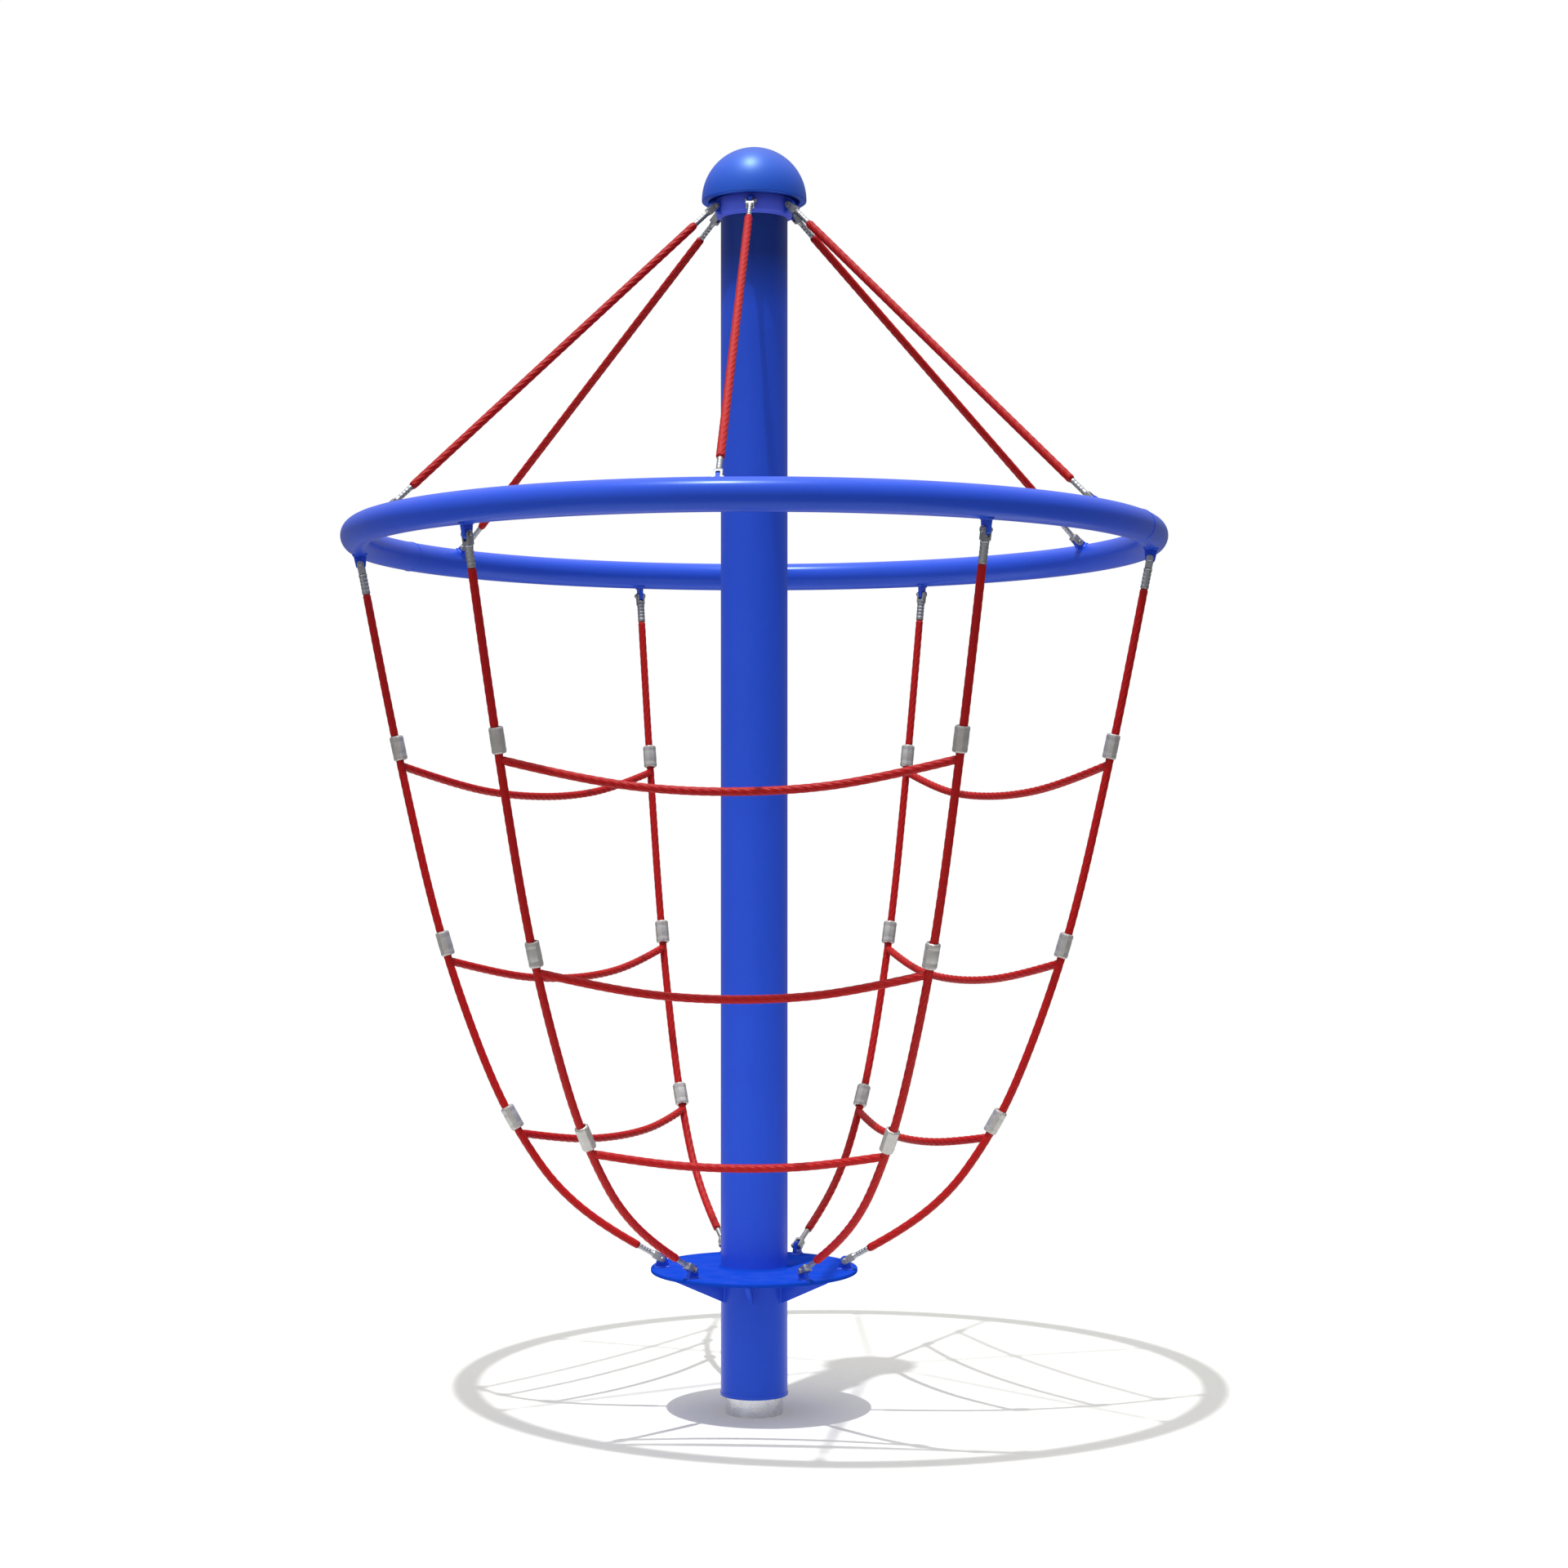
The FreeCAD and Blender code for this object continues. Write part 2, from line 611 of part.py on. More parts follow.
def make_foot_lugs():
    """Upright plates on the foot disc, one for each upright rope."""
    root_a = V(FOOT_PIN.x - FOOT_LUG_ROOT_INWARD, 0, FOOT_TOP)
    root_b = V(FOOT_PIN.x + FOOT_LUG_ROOT_OUTWARD, 0, FOOT_TOP)
    return around(lug_plate(FOOT_PIN, root_a, root_b), UPRIGHT_AZIMUTHS)


def make_collar_lugs():
    """Plates on the top collar, one for each suspension rope."""
    inside = COLLAR_RADIUS - LUG_ROOT_BURIED
    root_a = V(inside, 0, COLLAR_PIN.z + COLLAR_LUG_ROOT_ABOVE)
    root_b = V(inside, 0, COLLAR_PIN.z - COLLAR_LUG_ROOT_BELOW)
    plate = lug_plate(COLLAR_PIN, root_a, root_b)
    collar = Part.makeCylinder(COLLAR_RADIUS, COLLAR_HEIGHT, V(0, 0, COLLAR_BOTTOM))
    return around(plate.cut(collar), SUSPENSION_AZIMUTHS)


def make_hoop_lugs():
    """Plates above the hoop for the suspension ropes and below it for the upright ropes."""
    centre = V(HOOP_RADIUS, 0, HOOP_HEIGHT)
    tube = hoop_arc(HOOP_TUBE_RADIUS, -LUG_TRIM_ANGLE / 2, LUG_TRIM_ANGLE)
    plates = []
    for pin, azimuths in ((HOOP_UPPER_PIN, SUSPENSION_AZIMUTHS), (HOOP_LOWER_PIN, UPRIGHT_AZIMUTHS)):
        inward = (centre - pin).normalize()
        side = inward.cross(ACROSS) * HOOP_LUG_ROOT_HALF
        root = centre - inward * (HOOP_TUBE_RADIUS - LUG_ROOT_BURIED)
        plate = lug_plate(pin, root + side, root - side)
        plates.append(around(plate.cut(tube), azimuths))
    return group(plates)


# ---------------------------------------------------------------- terminals and pins


def laid_along(shape, start, direction):
    """Moves a shape drawn along +X so that it starts at a point and follows a direction in XZ."""
    shape = shape.copy()
    shape.rotate(V(0, 0, 0), ACROSS, -math.degrees(math.atan2(direction.z, direction.x)))
    shape.translate(start)
    return shape


def fork_terminal(length, shank_diameter):
    """A jaw round a lug and the shank that is swaged on the rope, from the pin along +X."""
    half_gap = LUG_THICKNESS / 2 + FORK_GAP_CLEARANCE
    half_width = FORK_ARM_WIDTH / 2
    outside = half_gap + FORK_ARM_THICKNESS
    body_end = FORK_JAW_DEPTH + FORK_BRIDGE
    shank_radius = shank_diameter / 2
    block = Part.makeBox(body_end, 2 * outside, FORK_ARM_WIDTH, V(0, -outside, -half_width))
    eye = Part.makeCylinder(half_width, 2 * outside, V(0, -outside, 0), ACROSS)
    block = block.fuse(eye).removeSplitter()
    shoulder = half_width * FORK_SHOULDER_SHARE
    taper = Part.makeCone(shoulder, shank_radius, FORK_BRIDGE, V(FORK_JAW_DEPTH, 0, 0), OUTWARD)
    reach = FORK_JAW_DEPTH + half_width
    front = Part.makeBox(reach, 2 * outside, FORK_ARM_WIDTH, V(-half_width, -outside, -half_width))
    block = block.common(taper.fuse(front))
    corner = V(-half_width - FORK_OVERRUN, -half_gap, -half_width)
    jaw = Part.makeBox(reach + FORK_OVERRUN, 2 * half_gap, FORK_ARM_WIDTH, corner)
    shank_start = FORK_JAW_DEPTH + FORK_OVERRUN
    shank = Part.makeCylinder(shank_radius, length - shank_start, V(shank_start, 0, 0), OUTWARD)
    hole_radius = PIN_DIAMETER / 2 + PIN_HOLE_CLEARANCE
    hole = Part.makeCylinder(hole_radius, 2 * outside, V(0, -outside, 0), ACROSS)
    return block.fuse(shank).removeSplitter().cut(jaw).cut(hole)


def clevis_pin(pin):
    """A headed pin through a jaw and its lug, grooved for its clip."""
    outside = LUG_THICKNESS / 2 + FORK_GAP_CLEARANCE + FORK_ARM_THICKNESS
    head_start = V(0, -outside - PIN_HEAD_HEIGHT, 0)
    head = Part.makeCylinder(PIN_HEAD_DIAMETER / 2, PIN_HEAD_HEIGHT, head_start, ACROSS)
    shank = Part.makeCylinder(PIN_DIAMETER / 2, 2 * outside + PIN_TAIL, V(0, -outside, 0), ACROSS)
    groove_start = V(0, outside + CLIP_SIDE_GAP, 0)
    groove_width = CLIP_THICKNESS + CLIP_GROOVE_CLEARANCE
    groove = Part.makeCylinder(PIN_DIAMETER, groove_width, groove_start, ACROSS)
    core = Part.makeCylinder(PIN_GROOVE_DIAMETER / 2, groove_width, groove_start, ACROSS)
    body = head.fuse(shank).removeSplitter().cut(groove.cut(core))
    body.translate(pin)
    return body


def pin_clip(pin):
    """The open ring in a pin's groove."""
    outside = LUG_THICKNESS / 2 + FORK_GAP_CLEARANCE + FORK_ARM_THICKNESS
    start = outside + CLIP_SIDE_GAP + CLIP_GROOVE_CLEARANCE / 2
    outer = Part.makeCylinder(CLIP_DIAMETER / 2, CLIP_THICKNESS, V(0, start, 0), ACROSS)
    bore = Part.makeCylinder(PIN_GROOVE_DIAMETER / 2, CLIP_THICKNESS, V(0, start, 0), ACROSS)
    mouth = Part.makeBox(CLIP_DIAMETER, CLIP_THICKNESS, CLIP_MOUTH, V(0, start, -CLIP_MOUTH / 2))
    clip = outer.cut(bore).cut(mouth)
    clip.translate(pin)
    return clip


def joints_with_pins():
    """Each kind of pinned joint: the pin's place and the azimuths that have one."""
    return [
        (COLLAR_PIN, SUSPENSION_AZIMUTHS),
        (HOOP_UPPER_PIN, SUSPENSION_AZIMUTHS),
        (HOOP_LOWER_PIN, UPRIGHT_AZIMUTHS),
        (FOOT_PIN, UPRIGHT_AZIMUTHS),
    ]


def make_clevis_pins():
    """All the headed pins."""
    return group([around(clevis_pin(pin), azimuths) for pin, azimuths in joints_with_pins()])


def make_pin_clips():
    """All the pin clips."""
    return group([around(pin_clip(pin), azimuths) for pin, azimuths in joints_with_pins()])


def suspension_direction():
    """From the collar's pin towards the hoop's."""
    return (HOOP_UPPER_PIN - COLLAR_PIN).normalize()


def upright_top_direction():
    """From the hoop's lower pin down the rope."""
    lean = math.radians(UPRIGHT_TOP_LEAN)
    return V(-math.sin(lean), 0, -math.cos(lean))


def upright_foot_direction():
    """From the foot's pin up the rope."""
    rise = math.radians(UPRIGHT_FOOT_RISE)
    return V(math.cos(rise), 0, math.sin(rise))


def make_suspension_terminals():
    """The thin forks at both ends of the suspension ropes."""
    direction = suspension_direction()
    fork = fork_terminal(SUSPENSION_TERMINAL, THIN_SHANK_DIAMETER)
    top = laid_along(fork, COLLAR_PIN, direction)
    bottom = laid_along(fork, HOOP_UPPER_PIN, direction * -1)
    return group([around(top, SUSPENSION_AZIMUTHS), around(bottom, SUSPENSION_AZIMUTHS)])


def make_hoop_terminals():
    """The thick forks under the hoop."""
    fork = fork_terminal(HOOP_TERMINAL, THICK_SHANK_DIAMETER)
    return around(laid_along(fork, HOOP_LOWER_PIN, upright_top_direction()), UPRIGHT_AZIMUTHS)


def make_foot_terminals():
    """The thin forks on the foot disc."""
    fork = fork_terminal(FOOT_TERMINAL, THIN_SHANK_DIAMETER)
    return around(laid_along(fork, FOOT_PIN, upright_foot_direction()), UPRIGHT_AZIMUTHS)


# ---------------------------------------------------------------- ropes


def rope_path(points, name):
    """Straight runs joined by tangent arcs, each as large as its two runs allow. Prints the radii."""
    edges = []
    radii = []
    start = points[0]
    for before, corner, after in zip(points, points[1:], points[2:]):
        back = (before - corner).normalize()
        on = (after - corner).normalize()
        half_turn = (math.pi - back.getAngle(on)) / 2
        reach = ARC_REACH_SHARE * min(before.distanceToPoint(corner), corner.distanceToPoint(after))
        radius = reach / math.tan(half_turn)
        inward = (back + on).normalize()
        middle = corner + inward * (radius / math.cos(half_turn) - radius)
        first = corner + back * reach
        last = corner + on * reach
        edges.append(Part.LineSegment(start, first).toShape())
        edges.append(Part.Arc(first, middle, last).toShape())
        radii.append(round(radius))
        start = last
    edges.append(Part.LineSegment(start, points[-1]).toShape())
    path = Part.Wire(edges)
    print(name, "length", round(path.Length, 1), "arc radii", radii)
    return path


def rope_solid(points, name):
    """A round rope along its path. Prints its volume against section times length."""
    path = rope_path(points, name)
    section = Part.Circle(points[0], points[1] - points[0], ROPE_RADIUS)
    solid = path.makePipeShell([Part.Wire([Part.Edge(section)])], True, False)
    print(name, "volume share", round(solid.Volume / (math.pi * ROPE_RADIUS**2 * path.Length), 4))
    return solid


def upright_points():
    """The upright rope's route, carried along if the hoop or the foot disc moves."""
    top = HOOP_LOWER_PIN + upright_top_direction() * HOOP_TERMINAL
    foot = FOOT_PIN + upright_foot_direction() * FOOT_TERMINAL
    planned_top = V(UPRIGHT_TOP_END[0], 0, UPRIGHT_TOP_END[1])
    planned_foot = V(UPRIGHT_FOOT_END[0], 0, UPRIGHT_FOOT_END[1])
    route = []
    for radius, height in UPRIGHT_POINTS:
        share = (height - planned_foot.z) / (planned_top.z - planned_foot.z)
        shift = (top - planned_top) * share + (foot - planned_foot) * (1 - share)
        route.append(V(radius, 0, height) + shift)
    route[0] = top + upright_top_direction() * top.distanceToPoint(route[0])
    route[-1] = foot + upright_foot_direction() * foot.distanceToPoint(route[-1])
    return [top] + route + [foot]


def joint_height(level_height):
    """A rung joint's height, carried along with the rope it sits on."""
    planned_top = UPRIGHT_TOP_END[1]
    planned_foot = UPRIGHT_FOOT_END[1]
    ends = upright_points()
    share = (level_height - planned_foot) / (planned_top - planned_foot)
    return level_height + (ends[0].z - planned_top) * share + (ends[-1].z - planned_foot) * (1 - share)


def on_path(path, height):
    """Where a path on a meridian crosses a height."""
    level = Part.makeLine(V(0, 0, height), V(3 * HOOP_RADIUS, 0, height))
    return path.distToShape(level)[1][0][0]


def uphill(path, height):
    """The direction in which a path on a meridian rises."""
    return (on_path(path, height + 1) - on_path(path, height - 1)).normalize()


def suspension_rope():
    """A straight, tight rope on the meridian."""
    direction = suspension_direction()
    start = COLLAR_PIN + direction * SUSPENSION_TERMINAL
    length = COLLAR_PIN.distanceToPoint(HOOP_UPPER_PIN) - 2 * SUSPENSION_TERMINAL
    print("suspension_rope length", round(length, 1))
    return Part.makeCylinder(ROPE_RADIUS, length, start, direction)


def rung_points(joint, sag, bulge):
    """A rung's route across a panel that faces +X, from a joint given on the meridian."""
    half = math.radians(PANEL_HALF_ANGLE)
    chord_distance = joint.x * math.cos(half)
    half_span = joint.x * math.sin(half)
    return [
        V(chord_distance - bulge * drop, half_span * along, joint.z - sag * drop)
        for along, drop in RUNG_POINTS
    ]


def make_rung(joint, rise, sag, bulge, name):
    """One rung on a panel that faces +X, hollowed at its ends to fit the two ropes it joins."""
    rung = rope_solid(rung_points(joint, sag, bulge), name)
    radius = ROPE_RADIUS + RUNG_END_CLEARANCE
    length = 4 * ROPE_DIAMETER
    rope = Part.makeCylinder(radius, length, joint - rise * (length / 2), rise)
    for side in (-1, 1):
        seat = turned(rope, side * PANEL_HALF_ANGLE)
        rung = max(rung.cut(seat).Solids, key=lambda solid: solid.Volume)
    return rung


def tee_sleeve(path, height):
    """An eight-sided pressed sleeve round the rope, above a joint."""
    centre = on_path(path, height + SLEEVE_ABOVE_JOINT * uphill(path, height).z)
    rise = uphill(path, centre.z)
    half_side = math.pi / SLEEVE_SIDES
    corner_radius = SLEEVE_WIDTH / 2 / math.cos(half_side)
    corners = []
    for i in range(SLEEVE_SIDES):
        angle = half_side + 2 * half_side * i
        across = corner_radius * math.cos(angle)
        corners.append(V(0, across, corner_radius * math.sin(angle) + SLEEVE_OFFSET))
    prism = Part.Face(Part.makePolygon(corners + corners[:1])).extrude(V(SLEEVE_LENGTH, 0, 0))
    axis = V(0, 0, SLEEVE_OFFSET)
    turning = Part.makeCylinder(corner_radius - SLEEVE_CORNER, SLEEVE_LENGTH, axis, OUTWARD)
    body = prism.common(turning)
    ends = [edge for edge in body.Edges if edge.BoundBox.XLength < 0.01]
    body = body.makeChamfer(SLEEVE_EDGE, ends)
    bore_radius = ROPE_RADIUS + SLEEVE_BORE_CLEARANCE
    body = body.cut(Part.makeCylinder(bore_radius, SLEEVE_LENGTH, V(0, 0, 0), OUTWARD))
    return laid_along(body, centre - rise * (SLEEVE_LENGTH / 2), rise)


def make_net():
    """Exports every rope and the sleeves on the net."""
    names = ["upright_rope_" + str(i + 1) for i in range(len(UPRIGHT_AZIMUTHS))]
    upright = rope_solid(upright_points(), "upright_rope")
    path = rope_path(upright_points(), "upright_rope path")
    for name, azimuth in zip(names, UPRIGHT_AZIMUTHS):
        export(turned(upright, azimuth), name)
    suspension = suspension_rope()
    for i, azimuth in enumerate(SUSPENSION_AZIMUTHS):
        export(turned(suspension, azimuth), "suspension_rope_" + str(i + 1))
    sleeves = []
    for level, planned_height, sag, bulge in RUNG_LEVELS:
        height = joint_height(planned_height)
        joint = on_path(path, height)
        sleeves.append(around(tee_sleeve(path, height), UPRIGHT_AZIMUTHS))
        rung = make_rung(joint, uphill(path, height), sag, bulge, "rung_" + level)
        for name, panel in zip(PANEL_NAMES, PANEL_AZIMUTHS):
            export(turned(rung, panel), "rung_" + level + "_" + name)
        print(level, "joint", round(joint.x, 2), round(joint.z, 2))
    export(group(sleeves), "tee_sleeves")


def main():
    """Builds every piece and writes one file for each node."""
    os.makedirs("parts", exist_ok=True)
    export(make_anchor_flange(), "anchor_flange")
    export(make_anchor_gussets(), "anchor_gussets")
    export(make_ground_post(), "ground_post")
    export(make_post_head(), "post_head")
    export(make_spindle(), "spindle")
    export(make_lock_washer(), "lock_washer")
    export(make_lock_nut(), "lock_nut")
    clips = []
    for place, bearing, height in (
        ("lower", LOWER_BEARING, LOWER_BEARING_HEIGHT),
        ("upper", UPPER_BEARING, UPPER_BEARING_HEIGHT),
    ):
        export(make_inner_ring(bearing, height), place + "_inner_ring")
        export(make_outer_ring(bearing, height), place + "_outer_ring")
        export(make_balls(bearing, height), place + "_balls")
        export(make_cage(bearing, height), place + "_cage")
        export(make_housing(bearing, height), place + "_housing")
        clips.append(make_circlip(bearing, height))
    export(group(clips), "bearing_circlips")
    export(make_mast_tube(), "mast_tube")
    export(make_dust_seal(), "dust_seal")
    export(make_foot_disc(), "foot_disc")
    export(make_foot_gussets(), "foot_gussets")
    export(make_foot_lugs(), "foot_lugs")
    export(make_top_collar(), "top_collar")
    export(make_collar_lugs(), "collar_lugs")
    export(make_mast_top_plate(), "mast_top_plate")
    export(make_cap_stud(), "cap_stud")
    export(make_dome_cap(), "dome_cap")
    export(make_half_hoop(HOOP_SEAM_AZIMUTH), "hoop_half_rear")
    export(make_half_hoop(HOOP_SEAM_AZIMUTH + 180), "hoop_half_front")
    export(make_hoop_joint_sleeves(), "hoop_joint_sleeves")
    export(make_hoop_lugs(), "hoop_lugs")
    export(make_suspension_terminals(), "suspension_terminals")
    export(make_hoop_terminals(), "hoop_terminals")
    export(make_foot_terminals(), "foot_terminals")
    export(make_clevis_pins(), "clevis_pins")
    export(make_pin_clips(), "pin_clips")
    make_net()


main()
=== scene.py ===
"""Rotating rope climber: the finished look of every piece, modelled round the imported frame.

Metres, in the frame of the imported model: +Z up, the origin on the mast's axis at ground level.
"""

import math

import bmesh
import bpy
from bpy.props import FloatProperty, FloatVectorProperty, IntProperty, PointerProperty
from mathutils import Matrix, Vector


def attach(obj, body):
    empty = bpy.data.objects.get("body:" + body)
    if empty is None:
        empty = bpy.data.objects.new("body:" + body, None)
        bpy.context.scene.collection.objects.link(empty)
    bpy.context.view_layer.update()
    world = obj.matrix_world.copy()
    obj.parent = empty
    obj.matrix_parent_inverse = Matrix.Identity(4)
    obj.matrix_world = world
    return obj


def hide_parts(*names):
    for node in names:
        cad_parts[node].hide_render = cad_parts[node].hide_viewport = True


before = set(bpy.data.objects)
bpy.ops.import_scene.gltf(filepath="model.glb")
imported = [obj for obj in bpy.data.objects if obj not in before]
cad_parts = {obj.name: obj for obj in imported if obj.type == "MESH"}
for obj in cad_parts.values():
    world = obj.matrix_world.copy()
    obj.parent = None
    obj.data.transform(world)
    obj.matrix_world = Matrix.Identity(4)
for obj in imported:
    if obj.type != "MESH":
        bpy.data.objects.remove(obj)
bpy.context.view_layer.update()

bl_info = {
    "name": "Rotating rope climber",
    "version": (1, 0, 0),
    "blender": (4, 5, 0),
    "location": "View3D > Sidebar > Climber",
    "description": "Models the mast, hoop, ropes and fittings of a rotating rope climber",
    "category": "Object",
}

# Azimuths, in radians
SUSPENSION_TURNS = [math.radians(270 + 60 * i) for i in range(6)]
PANEL_TURNS = [math.radians(270 + 120 * i) for i in range(3)]
PANEL_HALF = math.radians(36)
UPRIGHT_TURNS = [turn + side * PANEL_HALF for turn in PANEL_TURNS for side in (-1, 1)]
PANEL_NAMES = ["front", "right", "left"]
SEAM_TURNS = [math.radians(342), math.radians(162)]

# Mast, disc, collar and cap
MAST_RADIUS = 0.0665
MAST_BORE = 0.0615
MAST_BOTTOM = 0.037
MAST_TOP = 2.448
MAST_CHAMFER = 0.0010
MAST_ROLL = 0.0012
MAST_LIP = 0.0010
MAST_LIP_HEIGHT = 0.0062
MAST_LIP_END = 0.0086
MAST_RINGS = (0.26, 0.30, 1.0, 1.7, 2.36)
DISC_RADIUS = 0.2059
DISC_TOP = 0.2896
DISC_BOTTOM = 0.2816
DISC_ROLL = 0.0025
GUSSET_REACH = 0.1725
GUSSET_DROP = 0.059
GUSSET_TOE = 0.0095
GUSSET_HALF = 0.004
GUSSET_EDGE = 0.0009
GUSSET_BEAD = 0.0026
GUSSET_BEAD_OUT = 0.0042
GUSSET_BEAD_ROUND = 0.0012
COLLAR_RADIUS = 0.0756
COLLAR_BOTTOM = 2.379
COLLAR_TOP = 2.412
COLLAR_LOWER_ROLL = 0.002
COLLAR_UPPER_ROLL = 0.001
INTO_MAST = 0.0005
CAP_RADIUS = 0.1043
CAP_WALL = 0.005
CAP_RIM = 2.408
CAP_CENTRE = 2.412
CAP_RIM_INSIDE = 0.0903
CAP_BOSS = 0.017
CAP_CORNER = 0.003
# Heights between which a painted shadow of the cap darkens the mast's paint upwards
CAP_SHADE = (2.19, 2.30)
# A fillet weld's profile round the mast, as (distance from its face, distance along it)
RING_BEAD = [
    (-0.001, -0.0006), (0.005, 0.0), (0.004, 0.0010), (0.002, 0.0021), (0.00088, 0.0038),
    (0.0, 0.0052), (-0.001, 0.0052),
]

# Hoop
HOOP_RADIUS = 0.7852
HOOP_TUBE = 0.03015
HOOP_HEIGHT = 1.7336
HOOP_CENTRE = Vector((HOOP_RADIUS, 0, HOOP_HEIGHT))
SEAM_BEAD = 0.0020
SEAM_SINK = 0.0008
SEAM_STRETCH = 1.5

# Pins, in the XZ plane, and the fittings on them
COLLAR_PIN = Vector((0.0860, 0, 2.3931))
HOOP_UPPER_PIN = Vector((0.7560, 0, 1.7643))
HOOP_LOWER_PIN = Vector((0.7810, 0, 1.6860))
FOOT_PIN = Vector((0.1830, 0, 0.3070))
LUG_THICKNESS = 0.008
LUG_END = 0.010
LUG_ROOT = 0.0125
FOOT_LUG_ROOT = 0.0140
COLLAR_LUG_REACH = 0.0085
HOOP_LUG_ABOVE = 0.0012
FOOT_LUG_ABOVE = 0.0035
# A lug's weld, as (drop, swell) step by step
LUG_BEAD = [(0.0006, 0.0010), (0.0010, 0.0009), (0.0014, 0.0007), (0.0015, 0.0002)]
PIN_HOLE = 0.0041
PIN_RADIUS = 0.0040
PIN_HEAD = 0.0060
PIN_HEAD_THICKNESS = 0.003
PIN_GROOVE = 0.0032
PIN_TAIL = 0.0045
FORK_OUTSIDE = 0.008
FORK_GAP = 0.0045
FORK_HALF = 0.007
FORK_JAW = 0.013
FORK_BODY = 0.021
FORK_NECK = FORK_HALF * 0.98
FORK_EDGE = 0.0012
FORK_SLOT_EDGE = 0.0025
GRIP_COUNT = 4
GRIP_DEPTH = 0.94
GRIP_SHARE = 0.45
GRIP_SLOPE = 0.0008
THIN_SHANK = 0.00525
THICK_SHANK = 0.008
SUSPENSION_TERMINAL = 0.060
HOOP_TERMINAL = 0.060
FOOT_TERMINAL = 0.053
UPRIGHT_LEAN = math.radians(10.9)
FOOT_RISE = math.radians(29.3)
# Along a rope, away from its pin: at the collar, under the hoop and on the foot disc
FROM_COLLAR = (HOOP_UPPER_PIN - COLLAR_PIN).normalized()
FROM_HOOP = Vector((-math.sin(UPRIGHT_LEAN), 0, -math.cos(UPRIGHT_LEAN)))
FROM_FOOT = Vector((math.cos(FOOT_RISE), 0, math.sin(FOOT_RISE)))

# Ropes
UPRIGHT_ROUTE = [
    (0.7697, 1.6271), (0.7312, 1.4270), (0.6862, 1.2160), (0.6412, 1.0190), (0.5920, 0.8495),
    (0.5150, 0.6450), (0.4510, 0.5310), (0.3880, 0.4450), (0.3002, 0.3727), (0.2292, 0.3329),
]
RUNG_ROUTE = [(-1.0, 0.0), (-0.63, 0.645), (-0.21, 1.0), (0.24, 0.985), (0.62, 0.655), (1.0, 0.0)]
# Level, joint's distance and height, sag, draw towards the mast, length
RUNG_LEVELS = [
    ("upper", 0.70131, 1.2871, 0.0583, 0.022, 0.8368),
    ("middle", 0.60653, 0.9002, 0.0495, 0.032, 0.7258),
    ("lower", 0.46566, 0.5575, 0.0295, 0.035, 0.5575),
]
SLEEVE_ABOVE = 0.035
SLEEVE_LENGTH = 0.049
SLEEVE_WIDTH = 0.0265
SLEEVE_OFFSET = 0.0025
SLEEVE_SIDES = 8
SLEEVE_BORE = 0.0096
SLEEVE_TURN_IN = 0.004
SLEEVE_MARK = 0.982
SLEEVE_MARK_EDGE = 0.0030
SLEEVE_MARK_FLAT = 0.0018
# A rope's ends, as (share of its size at the end, length over which it swells)
BLUNT = (0.80, 0.003)
BURIED = (0.70, 0.012)
STRAND_FACETS = 8

SMOOTH_ANGLE = math.radians(32)
ROUND_SIDES = 96
QUARTER = (math.pi / 2, 0, 0)


def length_property(label, about, default):
    """A length that a user can change."""
    return FloatProperty(name=label, description=about, default=default, unit="LENGTH")


def colour_property(label, about, default):
    """A colour that a user can change."""
    return FloatVectorProperty(
        name=label, description=about, default=default, size=3, min=0, max=1, subtype="COLOR"
    )


class ClimberSizes(bpy.types.PropertyGroup):
    """Sizes that change how the pieces look without moving them."""

    rope_diameter: length_property("Rope diameter", "Over the strands", 0.016)
    rope_lay: length_property("Rope lay", "Length of one full turn of a strand", 0.11)
    strand_radius: length_property("Strand radius", "Roundness of each strand", 0.0046)
    strands: IntProperty(name="Strands", description="Strands round the core", default=6, min=3)
    rope_step: length_property("Rope step", "Distance between a rope's rings", 0.0045)
    edge: length_property("Plate edge", "Rounding of a plate's edges", 0.0008)
    sleeve_edge: length_property("Sleeve edge", "Rounding of a sleeve's edges", 0.0036)


class ClimberColours(bpy.types.PropertyGroup):
    """Colours of the finishes."""

    paint: colour_property("Paint", "Powder coat of the mast and hoop", (0.022, 0.080, 0.66))
    cap: colour_property("Cap", "Satin coat of the cap", (0.006, 0.072, 0.60))
    # Painted light: the collar's colour is a brightened copy of the blue paint, for light the cap
    # keeps off it
    collar: colour_property("Collar", "Powder coat of the collar", (0.110, 0.160, 1.0))
    # Painted shade: the disc's colour is a darkened copy of the blue paint, against the strong
    # light on its top
    disc: colour_property("Disc", "Powder coat of the foot disc", (0.006, 0.050, 0.48))
    rope: colour_property("Rope", "Polyamide rope fibre", (0.46, 0.002, 0.003))
    aluminium: colour_property("Aluminium", "Pressed sleeves", (0.50, 0.49, 0.48))
    zinc: colour_property("Zinc", "Galvanised steel", (0.74, 0.75, 0.78))
    floor: colour_property("Floor", "Studio floor", (0.765, 0.765, 0.735))


# ---- shader sums


class Reading:
    """A node's output that can be used in a sum: each operator adds a Math node."""

    def __init__(self, board, socket):
        self.board = board
        self.socket = socket

    def _sum(self, operation, other):
        return self.board.node("ShaderNodeMath", {"operation": operation}, {0: self, 1: other})

    def __add__(self, other):
        return self._sum("ADD", other)

    def __sub__(self, other):
        return self._sum("SUBTRACT", other)

    def __mul__(self, other):
        return self._sum("MULTIPLY", other)

    def __pow__(self, other):
        return self._sum("POWER", other)

    def above_zero(self):
        """The reading, or 0 where it's negative."""
        return self._sum("MAXIMUM", 0.0)


